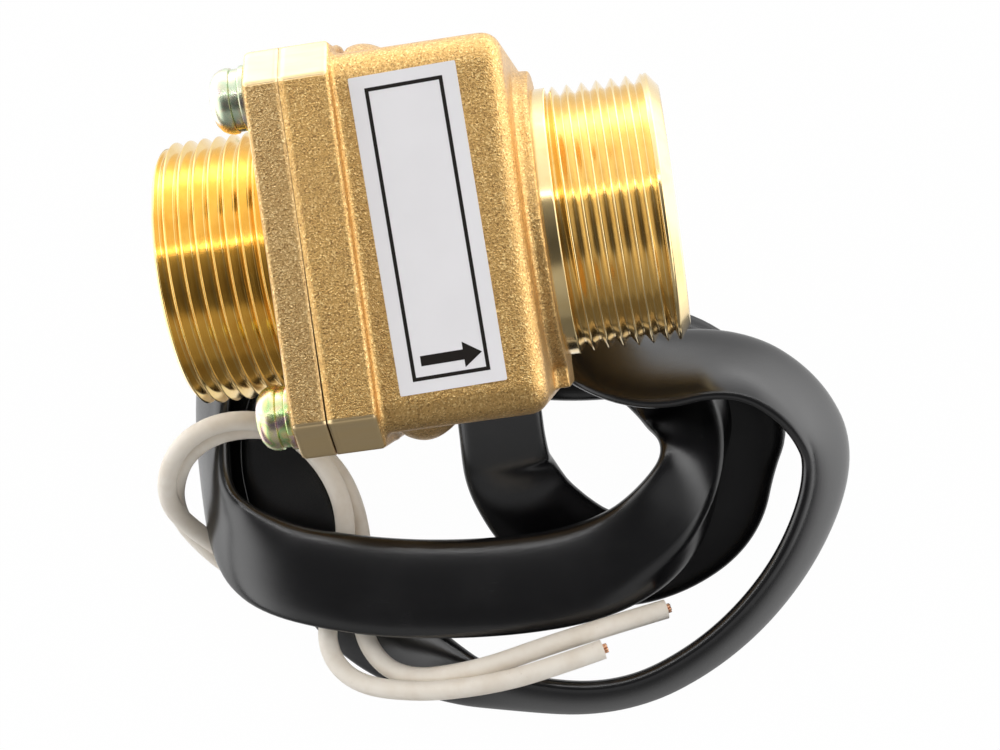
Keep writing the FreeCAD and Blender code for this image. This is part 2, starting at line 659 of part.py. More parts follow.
def sleeve_route():
    """Hand-placed points of the flat sleeve, from the pocket to the end where its wires leave."""
    lie = CABLE_DATUM.z + FLOOR_Z - POCKET_Z + SLEEVE_D / 2
    return placed((
        (45.0, SLEEVE_IN_POTTING + CABLE_DATUM.y, -19.5), (44.9, -35.0, -21.0),
        (43.7, -40.2, -28.5), (48.6, -50.7, -37.5),
        (60.6, -58.1, lie), (76.2, -61.6, lie), (87.9, -56.0, lie), (91.0, -43.4, lie),
        (83.0, -35.7, lie), (64.0, -28.0, -36.5), (45.0, -22.5, -33.4), (27.0, -18.5, -33.4),
        (13.0, -20.5, -34.5), (6.8, -32.5, lie), (7.4, -48.0, lie), (12.0, -64.0, lie),
        (25.0, -75.5, lie), (39.9, -80.5, lie), (59.6, -83.3, lie), (78.8, -77.2, lie),
        (94.1, -64.8, lie), (101.0, -48.6, -37.0), (95.3, -31.2, -30.0), (80.4, -24.1, -24.6),
        (60.5, -15.5, -30.2), (40.0, -4.0, -37.5), (18.5, 5.0, lie), (-3.5, -3.5, lie),
        (-9.4, -27.1, lie), (-9.0, -43.9, -31.0), (3.3, -55.0, -24.5), (20.2, -59.7, -24.5),
        (37.8, -61.2, -31.0), (55.7, -61.1, -31.5), (72.2, -57.0, -28.5), (81.7, -44.3, -28.5),
        (82.0, -29.8, -31.0), (80.5, -18.0, -35.5), (71.5, -10.5, lie), (57.0, -14.0, lie),
        (41.0, -14.5, lie), (25.0, -9.5, lie), (9.0, -8.5, lie), (-1.8, -19.5, lie),
        (-2.6, -34.5, lie), (0.4, -49.0, lie)))


def wire_a_route():
    """Upper wire: out of the sleeve, round the left loop, under the sleeve and to its cut end."""
    return placed((
        (0.4, -49.0, -35.8), (1.54, -54.5, -35.8), (-1.4, -58.4, -35.6), (-6.4, -55.2, -35.5),
        (-12.9, -47.4, -35.4), (-17.6, -38.2, -33.0), (-14.0, -29.6, -29.6), (-4.6, -25.4, -28.2),
        (5.9, -27.1, -28.3), (13.2, -35.5, -28.6), (15.3, -45.5, -30.0), (11.5, -57.0, -30.2),
        (7.3, -66.3, -31.2), (11.3, -74.2, -30.4), (23.3, -76.9, -29.9), (36.5, -77.4, -31.0),
        (47.4, -76.1, -33.6), (55.7, -74.6, -36.6)))


def wire_b_route():
    """Lower wire: follows the other one and ends further out."""
    return placed((
        (0.4, -49.0, -39.3), (1.54, -54.5, -39.3), (-1.4, -58.4, -39.3), (-6.4, -55.2, -39.3),
        (-12.9, -47.4, -39.1), (-17.6, -38.2, -36.8), (-14.0, -29.6, -33.3), (-4.6, -25.4, -31.9),
        (5.9, -27.1, -32.0), (13.9, -35.0, -32.3), (16.6, -45.5, -33.7), (15.6, -57.0, -33.8),
        (13.4, -68.0, -34.2), (20.0, -75.0, -33.4), (33.0, -74.9, -33.6), (46.0, -72.2, -34.8),
        (57.5, -70.4, -37.2), (67.7, -68.8, -37.6)))


def conductor_ends():
    """Stranded conductors standing out of the two cut wire ends."""
    stubs = []
    for route in (wire_a_route(), wire_b_route()):
        direction = route[-1] - route[-2]
        stubs.append(Part.makeCylinder(CONDUCTOR_D / 2, CONDUCTOR_OUT, route[-1], direction))
    return Part.makeCompound(stubs)


def report_route(name, points, radius):
    """Print a route's smallest radius and compare the tube's volume with section times length."""
    edges, radii = tangent_route(points)
    length = sum(edge.Length for edge in edges)
    shape = tube(points, radius)
    ratio = shape.Volume / (math.pi * radius ** 2 * length)
    print("%s: length %.1f mm, volume ratio %.4f, valid %s" % (name, length, ratio, shape.isValid()))
    print("  radii", " ".join("%.0f" % r for r in radii))
    return shape


def repeated(make):
    """One compound with a piece at each screw corner."""
    return Part.makeCompound([make(y, z) for y, z in corner_places()])


def main():
    """Build every node and write its STEP file."""
    sleeve = report_route("cable_sleeve", sleeve_route(), SLEEVE_D / 2)
    wire_a = report_route("wire_a", wire_a_route(), WIRE_D / 2)
    wire_b = report_route("wire_b", wire_b_route(), WIRE_D / 2)
    glass, blades, board = reed_glass(), reed_blades(), reed_board()
    cores, pads = inner_cores(), solder_pads()
    nodes = {
        "outlet_body": outlet_body(),
        "inlet_cover": inlet_cover(),
        "cover_oring": cover_oring(),
        "cover_screws": repeated(cover_screw),
        "spring_washers": repeated(spring_washer),
        "plain_washers": repeated(plain_washer),
        "seat_ring": seat_ring(),
        "poppet": poppet(),
        "seal_disc": seal_disc(),
        "guide_stem": guide_stem(),
        "magnet_ring": magnet_ring(),
        "magnet_keeper": magnet_keeper(),
        "stem_clip": stem_clip(),
        "return_spring": return_spring(),
        "outlet_spider": outlet_spider(),
        "guide_bush": guide_bush(),
        "retaining_ring": retaining_ring(),
        "reed_glass": glass,
        "reed_blades": blades,
        "reed_board": board,
        "inner_cores": cores,
        "solder_pads": pads,
        "pocket_potting": pocket_potting([reed_capsule(), blades, board, cores, pads, sleeve]),
        "flow_label": flow_label(),
        "cable_sleeve": sleeve,
        "wire_a": wire_a,
        "wire_b": wire_b,
        "conductor_ends": conductor_ends(),
    }
    os.makedirs("parts", exist_ok=True)
    for name, shape in nodes.items():
        counted = (name, len(shape.Solids), shape.isValid(), shape.Volume)
        print("%-16s solids %d valid %s volume %.1f" % counted)
        shape.exportStep("parts/%s.step" % name)


main()
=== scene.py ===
"""Looks of the inline flow switch: cast brass body, cut pipe threads, plated screws and its flat cable."""

import json
import logging
import math
from dataclasses import dataclass
from enum import Enum

import bmesh
import bpy
import numpy as np
from mathutils import Matrix, Vector

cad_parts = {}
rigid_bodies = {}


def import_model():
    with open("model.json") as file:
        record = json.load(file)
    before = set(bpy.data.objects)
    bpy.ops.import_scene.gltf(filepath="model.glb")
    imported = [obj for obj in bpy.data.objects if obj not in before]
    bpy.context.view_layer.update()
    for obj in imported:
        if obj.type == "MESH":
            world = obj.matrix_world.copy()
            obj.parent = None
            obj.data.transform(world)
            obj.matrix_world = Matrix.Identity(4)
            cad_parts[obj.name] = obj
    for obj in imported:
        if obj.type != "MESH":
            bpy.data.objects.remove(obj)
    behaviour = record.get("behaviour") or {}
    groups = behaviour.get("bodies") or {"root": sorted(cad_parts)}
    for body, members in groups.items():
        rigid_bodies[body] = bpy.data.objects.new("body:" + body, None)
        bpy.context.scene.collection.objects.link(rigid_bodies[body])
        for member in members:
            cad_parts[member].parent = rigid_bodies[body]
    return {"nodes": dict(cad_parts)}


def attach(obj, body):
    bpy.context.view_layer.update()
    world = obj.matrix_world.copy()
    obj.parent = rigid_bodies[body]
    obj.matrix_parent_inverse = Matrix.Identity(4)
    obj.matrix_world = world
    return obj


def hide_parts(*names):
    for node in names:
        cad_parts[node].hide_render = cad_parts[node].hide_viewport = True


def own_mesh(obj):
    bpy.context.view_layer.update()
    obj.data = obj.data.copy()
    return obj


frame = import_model()

LOG = logging.getLogger("flow_switch")
MM = 0.001
TAU = 2.0 * math.pi
FLOOR_Z = -41.0 * MM
HOUSING = "housing"
Number = float | int


# Shader sheets


class Signal:
    """A number socket of a node tree whose operators add Math nodes."""

    def __init__(self, sheet: "FinishSheet", socket: bpy.types.NodeSocket) -> None:
        """Keep the tree and the socket together."""
        self.sheet = sheet
        self.socket = socket

    def _with(self, operation: str, *values: "Signal | Number") -> "Signal":
        """Add one Math node over the given values."""
        return self.sheet.maths(operation, *values)

    def __add__(self, other: "Signal | Number") -> "Signal":
        """Sum."""
        return self._with("ADD", self, other)

    __radd__ = __add__

    def __sub__(self, other: "Signal | Number") -> "Signal":
        """Difference."""
        return self._with("SUBTRACT", self, other)

    def __rsub__(self, other: "Signal | Number") -> "Signal":
        """Reflected difference."""
        return self._with("SUBTRACT", other, self)

    def __mul__(self, other: "Signal | Number") -> "Signal":
        """Product."""
        return self._with("MULTIPLY", self, other)

    __rmul__ = __mul__

    def __abs__(self) -> "Signal":
        """Absolute value."""
        return self._with("ABSOLUTE", self)

    def maximum(self, other: "Signal | Number") -> "Signal":
        """The larger of two values."""
        return self._with("MAXIMUM", self, other)

    def step(self, low: float, high: float) -> "Signal":
        """Smooth rise from 0 at low to 1 at high.

        Args:
            low: Value at which the rise starts.
            high: Value at which it is complete; lower than low for a fall.

        Returns:
            The smooth mask.
        """
        node = self.sheet.node(
            "ShaderNodeMapRange",
            {"interpolation_type": "SMOOTHSTEP"},
            {"Value": self, "From Min": low, "From Max": high, "To Min": 0.0, "To Max": 1.0},
        )
        return Signal(self.sheet, node.outputs["Result"])


Value = Signal | bpy.types.NodeSocket | Number | tuple | Vector


class FinishSheet:
    """The node tree of one finish or sky, with short calls for the nodes that they share."""

    def __init__(self, name: str, sky: bool = False) -> None:
        """Start an empty material, or a sky, with its output node."""
        self.material = bpy.data.worlds.new(name) if sky else bpy.data.materials.new(name)
        self.material.use_nodes = True
        self.tree = self.material.node_tree
        self.tree.nodes.clear()
        self.output = self.tree.nodes.new("ShaderNodeOutputWorld" if sky else "ShaderNodeOutputMaterial")
        self._object: bpy.types.NodeSocket | None = None

    def node(self, kind: str, settings: dict | None = None, inputs: dict | None = None) -> bpy.types.Node:
        """Add a node, set its settings first and then its inputs.

        Args:
            kind: Blender's node type name.
            settings: Attributes of the node, or "stops" for a colour ramp.
            inputs: Values or links by socket name or index.

        Returns:
            The new node.
        """
        node = self.tree.nodes.new(kind)
        for key, value in (settings or {}).items():
            if key == "stops":
                self._set_stops(node, value)
            else:
                setattr(node, key, value)
        for key, value in (inputs or {}).items():
            self.feed(node.inputs[key], value)
        return node

    def _set_stops(self, node: bpy.types.Node, stops: list[tuple[float, tuple]]) -> None:
        """Give a colour ramp its stops."""
        elements = node.color_ramp.elements
        while len(elements) < len(stops):
            elements.new(1.0)
        for element, (place, colour) in zip(elements, stops):
            element.position = place
            element.color = (*colour[:3], 1.0)

    def feed(self, socket: bpy.types.NodeSocket, value: Value) -> None:
        """Link or set one input socket."""
        if isinstance(value, Signal):
            value = value.socket
        if isinstance(value, bpy.types.NodeSocket):
            self.tree.links.new(value, socket)
        elif isinstance(value, (tuple, list, Vector)) and len(socket.default_value) == 4:
            socket.default_value = (*value[:3], 1.0)
        else:
            socket.default_value = value

    def maths(self, operation: str, *values: Value) -> Signal:
        """One Math node."""
        node = self.node("ShaderNodeMath", {"operation": operation}, dict(enumerate(values)))
        return Signal(self, node.outputs[0])

    def place(self) -> bpy.types.NodeSocket:
        """Object coordinates, shared by the whole sheet."""
        if self._object is None:
            self._object = self.node("ShaderNodeTexCoord").outputs["Object"]
        return self._object

    def axes(self) -> tuple[Signal, Signal, Signal]:
        """The three object coordinates in millimetres."""
        split = self.node("ShaderNodeSeparateXYZ", None, {"Vector": self.place()})
        return tuple(Signal(self, split.outputs[k]) * (1.0 / MM) for k in range(3))

    def own(self, attribute: str) -> Signal:
        """A number stored on the piece's own mesh."""
        node = self.node("ShaderNodeAttribute", {"attribute_name": attribute})
        return Signal(self, node.outputs["Fac"])

    def stretched(self, scale: tuple[float, float, float]) -> bpy.types.NodeSocket:
        """Object coordinates through a Mapping node with its own scale."""
        inputs = {"Vector": self.place(), "Scale": Vector(scale)}
        return self.node("ShaderNodeMapping", None, inputs).outputs[0]

    def noise(
        self,
        size_mm: float,
        detail: float = 3.0,
        rough: float = 0.5,
        vector: Value | None = None,
        warp: float = 0.0,
    ) -> Signal:
        """Noise whose features are about size_mm across.

        Args:
            size_mm: Feature size.
            detail: Octaves.
            rough: Weight of the finer octaves.
            vector: Coordinates, object coordinates if left out.
            warp: Distortion.

        Returns:
            The noise, about 0 to 1.
        """
        node = self.node(
            "ShaderNodeTexNoise",
            None,
            {
                "Vector": self.place() if vector is None else vector,
                "Scale": 1.0 / (size_mm * MM),
                "Detail": detail,
                "Roughness": rough,
                "Distortion": warp,
            },
        )
        return Signal(self, node.outputs["Fac"])

    def grains(self, size_mm: float) -> tuple[Signal, bpy.types.NodeSocket]:
        """Cells of about size_mm: the distance to the cell's middle and a random colour for each cell."""
        inputs = {"Vector": self.place(), "Scale": 1.0 / (size_mm * MM)}
        node = self.node("ShaderNodeTexVoronoi", {"feature": "F1"}, inputs)
        return Signal(self, node.outputs["Distance"]), node.outputs["Color"]

    def ramp(self, signal: Signal, stops: list[tuple[float, tuple]]) -> bpy.types.NodeSocket:
        """Colour ramp over a number."""
        return self.node("ShaderNodeValToRGB", {"stops": stops}, {"Fac": signal}).outputs["Color"]

    def blend(self, share: Value, first: Value, second: Value) -> bpy.types.NodeSocket:
        """Mix of two colours."""
        node = self.node(
            "ShaderNodeMix",
            {"data_type": "RGBA", "blend_type": "MIX", "clamp_factor": True},
            {0: share, 6: first, 7: second},
        )
        return node.outputs[2]

    def grey(self, colour: bpy.types.NodeSocket) -> Signal:
        """Brightness of a colour as a number."""
        return Signal(self, self.node("ShaderNodeRGBToBW", None, {"Color": colour}).outputs[0])

    def bump(
        self,
        height: Signal,
        depth_mm: float,
        strength: float = 1.0,
        under: bpy.types.NodeSocket | None = None,
    ) -> bpy.types.NodeSocket:
        """Bumped normal from a height of 0 to 1 that stands for depth_mm."""
        inputs: dict = {"Height": height, "Strength": strength, "Distance": depth_mm * MM}
        if under is not None:
            inputs["Normal"] = under
        return self.node("ShaderNodeBump", None, inputs).outputs["Normal"]

    def finish(self, **sockets: Value) -> bpy.types.Material:
        """Principled surface with the given sockets, keyed by their names with _ for spaces.

        Args:
            **sockets: Values or links, such as Base_Color.

        Returns:
            The finished material.
        """
        inputs = {key.replace("_", " "): value for key, value in sockets.items()}
        shader = self.node("ShaderNodeBsdfPrincipled", None, inputs)
        self.tree.links.new(shader.outputs[0], self.output.inputs["Surface"])
        return self.material


# Finishes


@dataclass(frozen=True)
class CastBrass:
    """Sand-cast brass with machined lands at the flange corners and the joint faces."""

    name: str
    colour: tuple = (0.68, 0.41, 0.138)
    bright: tuple = (1.0, 0.75, 0.34)
    dull: tuple = (0.34, 0.185, 0.062)
    stain: tuple = (0.54, 0.335, 0.125)
    land: tuple = (0.86, 0.65, 0.36)
    land_dull: tuple = (0.80, 0.57, 0.24)
    grain_mm: float = 0.22
    relief_mm: float = 0.17
    land_from: float = 54.55
    land_to_x: float = 31.4
    faces_x: tuple[float, ...] = (18.7,)

    def build(self) -> bpy.types.Material:
        """Make the material."""
        sheet = FinishSheet(self.name)
        x, y, z = sheet.axes()
        reach = abs(y) + abs(z)
        wobble = (sheet.noise(2.2, 2.0) - 0.5) * 0.25
        land = (reach + wobble).step(self.land_from - 0.08, self.land_from + 0.08)
        land = land * x.step(self.land_to_x, self.land_to_x - 0.3)
        for face in self.faces_x:
            land = land.maximum(abs(x - face).step(0.28, 0.12))
        cell, tint = sheet.grains(self.grain_mm)
        sand = sheet.noise(self.grain_mm * 1.6, 4.0, 0.62)
        patches = sheet.noise(7.0, 3.0, 0.55)
        grit = sheet.grey(tint)
        height = sand * 0.65 + cell * 0.35
        rough_colour = sheet.ramp(
            sand * 0.6 + grit * 0.4,
            [(0.30, self.dull), (0.45, self.colour), (0.56, self.colour), (0.70, self.bright)],
        )
        rough_colour = sheet.blend(patches.step(0.35, 0.8) * 0.30, rough_colour, self.stain)
        turned = sheet.noise(1.0, 2.0, 0.5, sheet.stretched((0.15, 0.9, 0.9)))
        land_colour = sheet.blend(turned.step(0.3, 0.7) * 0.25, self.land, self.land_dull)
        colour = sheet.blend(land, rough_colour, land_colour)
        coarse = sheet.bump(height * (1 - land * 0.97), self.relief_mm, 0.8)
        fine = sheet.bump(turned, 0.012, 0.4, coarse)
        roughness = (0.26 + 0.28 * sand) * (1 - land) + (0.30 + 0.12 * turned) * land
        return sheet.finish(
            Base_Color=colour,
            Metallic=1.0,
            Roughness=roughness,
            Normal=fine,
            Coat_Weight=0.22 + 0.2 * patches,
            Coat_Roughness=0.38,
        )


@dataclass(frozen=True)
class CutBrass:
    """Turned brass of the threads, reliefs and bores."""

    name: str
    colour: tuple = (0.82, 0.56, 0.19)
    deep: tuple = (0.70, 0.43, 0.115)
    roughness: float = 0.10

    def build(self) -> bpy.types.Material:
        """Make the material."""
        sheet = FinishSheet(self.name)
        rings = sheet.noise(0.16, 2.0, 0.5, sheet.stretched((1.0, 0.012, 0.012)))
        smear = sheet.noise(5.0, 3.0, 0.6)
        colour = sheet.blend(smear.step(0.35, 0.7) * 0.55, self.colour, self.deep)
        normal = sheet.bump(rings, 0.010, 0.5)
        roughness = self.roughness + rings * 0.05 + smear * 0.05
        return sheet.finish(Base_Color=colour, Metallic=1.0, Roughness=roughness, Normal=normal)


@dataclass(frozen=True)
class PassivatedZinc:
    """Yellow passivated zinc with its faint rainbow, and a painted highlight that makes the screws at +Y paler.
    """

    name: str

    def build(self) -> bpy.types.Material:
        """Make the material."""
        sheet = FinishSheet(self.name)
        _, y, _ = sheet.axes()
        film = sheet.noise(3.6, 2.0, 0.5, warp=0.6)
        colour = sheet.ramp(
            film,
            [
                (0.30, (0.66, 0.66, 0.60)),
                (0.40, (0.74, 0.50, 0.48)),
                (0.46, (0.74, 0.68, 0.30)),
                (0.53, (0.44, 0.66, 0.30)),
                (0.60, (0.76, 0.70, 0.38)),
                (0.70, (0.70, 0.54, 0.58)),
            ],
        )
        # Painted highlight: the colour turns pale grey towards +Y, where the bright light falls, so the two
        # screws on that side look lit.
        pale = y.step(-6.0, 14.0)
        colour = sheet.blend(pale * 0.55, colour, (0.66, 0.68, 0.65))
        scratch = sheet.noise(0.5, 3.0, 0.6)
        normal = sheet.bump(scratch, 0.01, 0.4)
        return sheet.finish(Base_Color=colour, Metallic=1.0, Roughness=0.20 + scratch * 0.14, Normal=normal)


@dataclass(frozen=True)
class Steel:
    """Bright drawn or turned steel."""

    name: str
    colour: tuple = (0.62, 0.62, 0.63)
    roughness: float = 0.22

    def build(self) -> bpy.types.Material:
        """Make the material."""
        sheet = FinishSheet(self.name)
        grain = sheet.noise(0.6, 3.0, 0.6, sheet.stretched((1.0, 0.2, 0.2)))
        tone = sheet.noise(4.0, 2.0)
        colour = sheet.blend(tone * 0.3, self.colour, tuple(0.82 * c for c in self.colour))
        roughness = self.roughness + grain * 0.14
        normal = sheet.bump(grain, 0.006, 0.4)
        return sheet.finish(Base_Color=colour, Metallic=1.0, Roughness=roughness, Normal=normal)


@dataclass(frozen=True)
class Moulded:
    """Moulded or cast plastic, rubber or resin."""

    name: str
    colour: tuple
    roughness: float = 0.45
    grain_mm: float = 0.5
    relief_mm: float = 0.01
    mottle: float = 0.15
    sheen: float = 0.5

    def build(self) -> bpy.types.Material:
        """Make the material."""
        sheet = FinishSheet(self.name)
        grain = sheet.noise(self.grain_mm, 3.0, 0.55)
        tone = sheet.noise(6.0, 3.0, 0.55)
        colour = sheet.blend(tone * self.mottle, self.colour, tuple(0.7 * c for c in self.colour))
        return sheet.finish(
            Base_Color=colour,
            Roughness=self.roughness + (grain - 0.5) * 0.16,
            Normal=sheet.bump(grain, self.relief_mm, 0.6),
            Specular_IOR_Level=self.sheen,
        )


@dataclass(frozen=True)
class Glass:
    """Green-tinted glass of the reed capsule."""

    name: str

    def build(self) -> bpy.types.Material:
        """Make the material."""
        sheet = FinishSheet(self.name)
        tone = sheet.noise(2.0, 2.0)
        colour = sheet.blend(tone * 0.3, (0.70, 0.92, 0.78), (0.60, 0.85, 0.72))
        return sheet.finish(Base_Color=colour, Roughness=0.05 + tone * 0.04, Transmission_Weight=0.9, IOR=1.5)


@dataclass(frozen=True)
class SleeveSkin:
    """Black soft sleeve: satin, with faint lengthwise marks."""

    name: str

    def build(self) -> bpy.types.Material:
        """Make the material."""
        sheet = FinishSheet(self.name)
        along, across = sheet.own("along"), sheet.own("across")
        lane = sheet.node("ShaderNodeCombineXYZ", None, {"X": along * 0.25, "Y": across * 40.0}).outputs[0]
        streak = sheet.node("ShaderNodeTexNoise", None, {"Vector": lane, "Scale": 1.0, "Detail": 3.0})
        streak = Signal(sheet, streak.outputs["Fac"])
        fine = sheet.noise(0.35, 3.0, 0.6)
        dust = sheet.noise(9.0, 3.0, 0.6)
        colour = sheet.blend(dust.step(0.45, 0.75) * 0.6, (0.0035, 0.0035, 0.0042), (0.009, 0.0088, 0.0095))
        normal = sheet.bump(streak, 0.05, 0.25, sheet.bump(fine, 0.006, 0.5))
        roughness = 0.17 + 0.08 * streak + 0.07 * dust
        return sheet.finish(Base_Color=colour, Roughness=roughness, Normal=normal, Specular_IOR_Level=0.8)


@dataclass(frozen=True)
class Insulation:
    """Warm white wire insulation, a little grubby."""

    name: str

    def build(self) -> bpy.types.Material:
        """Make the material."""
        sheet = FinishSheet(self.name)
        tone = sheet.noise(5.0, 3.0, 0.6)
        speck = sheet.noise(0.8, 2.0, 0.5)
        colour = sheet.blend(tone.step(0.35, 0.75) * 0.6, (0.86, 0.80, 0.71), (0.72, 0.63, 0.52))
        colour = sheet.blend(speck.step(0.70, 0.80) * 0.25, colour, (0.45, 0.38, 0.30))
        normal = sheet.bump(tone * 0.5 + speck * 0.5, 0.02, 0.3)
        return sheet.finish(Base_Color=colour, Roughness=0.46 + 0.1 * speck, Normal=normal)


@dataclass(frozen=True)
class LabelFilm:
    """White film label, or the black ink on it."""

    name: str
    colour: tuple = (0.81, 0.795, 0.81)
    shade: tuple = (0.74, 0.725, 0.74)
    roughness: float = 0.38
    shine: float = 0.4

    def build(self) -> bpy.types.Material:
        """Make the material."""
        sheet = FinishSheet(self.name)
        fibre = sheet.noise(0.5, 3.0, 0.6)
        tone = sheet.noise(9.0, 2.0)
        colour = sheet.blend(tone.step(0.3, 0.8) * 0.35, self.colour, self.shade)
        return sheet.finish(
            Base_Color=colour,
            Roughness=self.roughness + fibre * 0.12,
            Normal=sheet.bump(fibre, 0.01, 0.35),
            Specular_IOR_Level=self.shine,
        )


# Mesh helpers


class MeshShop:
    """Shared ways of making plain meshes."""

    @staticmethod
    def from_arrays(name: str, points: np.ndarray, faces: list, smooth: bool = True) -> bpy.types.Object:
        """Object from points in metres and polygons.

        Args:
            name: Piece name.
            points: N x 3 positions.
            faces: Polygons as index lists.
            smooth: Whether the faces shade smoothly.

        Returns:
            The new object, linked to the scene.
        """
        mesh = bpy.data.meshes.new(name)
        mesh.from_pydata([tuple(p) for p in points], [], [tuple(int(i) for i in f) for f in faces])
        mesh.validate()
        if smooth:
            mesh.shade_smooth()
        item = bpy.data.objects.new(name, mesh)
        bpy.context.scene.collection.objects.link(item)
        return item

    @staticmethod
    def bake(item: bpy.types.Object) -> bpy.types.Object:
        """Apply every modifier of an object through its evaluated mesh."""
        bpy.context.view_layer.update()
        graph = bpy.context.evaluated_depsgraph_get()
        mesh = bpy.data.meshes.new_from_object(item.evaluated_get(graph))
        old = item.data
        item.modifiers.clear()
        item.data = mesh
        if old.users == 0:
            bpy.data.meshes.remove(old)
        return item

    @staticmethod
    def outward(item: bpy.types.Object, merge_mm: float = 0.0) -> bpy.types.Object:
        """Merge doubles and point all faces outwards."""
        work = bmesh.new()
        work.from_mesh(item.data)
        if merge_mm:
            bmesh.ops.remove_doubles(work, verts=work.verts, dist=merge_mm * MM)
        bmesh.ops.recalc_face_normals(work, faces=work.faces)
        work.to_mesh(item.data)
        work.free()
        return item

    @staticmethod
    def dress(item: bpy.types.Object, material: bpy.types.Material) -> bpy.types.Object:
        """Give a piece one material."""
        item.data.materials.clear()
        item.data.materials.append(material)
        return item

    @staticmethod
    def lathe(
        name: str, profile: list[tuple[float, float]], around: int, loop: bool = False
    ) -> bpy.types.Object:
        """Surface of revolution about X from (x, r) points in millimetres.

        Args:
            name: Piece name.
            profile: Stations along the outline.
            around: Faces round the axis.
            loop: Whether the last station joins the first.

        Returns:
            The new object.
        """
        rings = len(profile)
        angles = np.arange(around) * TAU / around
        circle = np.column_stack([np.cos(angles), np.sin(angles)])
        points = np.concatenate([np.column_stack([np.full(around, x), r * circle]) for x, r in profile])
        faces = []
        for i in range(rings if loop else rings - 1):
            j = (i + 1) % rings
            for k in range(around):
                n = (k + 1) % around
                faces.append((i * around + k, i * around + n, j * around + n, j * around + k))
        return MeshShop.from_arrays(name, points * MM, faces)


def ride_housing(item: bpy.types.Object, slot: str, *nodes: str) -> bpy.types.Object:
    """Put a piece on the housing, in place of CAD nodes."""
    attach(item, HOUSING)
    if nodes:
        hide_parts(*nodes)
    LOG.info("%s: %d faces", item.name, len(getattr(item.data, "polygons", [])))
    return item


# Geometry Nodes


class NodeRig:
    """A geometry node tree built in the script, with named inputs."""

    def __init__(self, name: str, inputs: dict[str, float | int]) -> None:
        """Make the group with a geometry input and output and named number inputs."""
        self.tree = bpy.data.node_groups.new(name, "GeometryNodeTree")
        face = self.tree.interface
        face.new_socket(name="Geometry", in_out="INPUT", socket_type="NodeSocketGeometry")
        self.ids: dict[str, str] = {}
        for key, value in inputs.items():
            kind = "NodeSocketInt" if isinstance(value, int) else "NodeSocketFloat"
            socket = face.new_socket(name=key, in_out="INPUT", socket_type=kind)
            socket.default_value = value
            self.ids[key] = socket.identifier
        face.new_socket(name="Geometry", in_out="OUTPUT", socket_type="NodeSocketGeometry")
        self.start = self.tree.nodes.new("NodeGroupInput")
        self.end = self.tree.nodes.new("NodeGroupOutput")

    def add(self, kind: str, settings: dict | None = None, inputs: dict | None = None) -> bpy.types.Node:
        """Add one node with settings and inputs."""
        node = self.tree.nodes.new(kind)
        for key, value in (settings or {}).items():
            setattr(node, key, value)
        for key, value in (inputs or {}).items():
            if isinstance(value, bpy.types.NodeSocket):
                self.tree.links.new(value, node.inputs[key])
            else:
                node.inputs[key].default_value = value
        return node

    def maths(self, operation: str, *values: bpy.types.NodeSocket | float) -> bpy.types.NodeSocket:
        """One Math node."""
        return self.add("ShaderNodeMath", {"operation": operation}, dict(enumerate(values))).outputs[0]

    def given(self, key: str) -> bpy.types.NodeSocket:
        """One of the group's named inputs."""
        return self.start.outputs[key]

    def close(self, geometry: bpy.types.NodeSocket, material: bpy.types.Material) -> None:
        """End the tree in Realize Instances and Set Material."""
        real = self.add("GeometryNodeRealizeInstances", None, {"Geometry": geometry})
        inputs = {"Geometry": real.outputs[0], "Material": material}
        dressed = self.add("GeometryNodeSetMaterial", None, inputs)
        self.tree.links.new(dressed.outputs[0], self.end.inputs["Geometry"])

    def run(self, item: bpy.types.Object, values: dict[str, float | int]) -> bpy.types.Object:
        """Put the tree on an object, set its inputs by identifier and bake the result."""
        modifier = item.modifiers.new(self.tree.name, "NODES")
        modifier.node_group = self.tree
        for key, value in values.items():
            modifier[self.ids[key]] = value
        return MeshShop.bake(item)


# Sub-assemblies


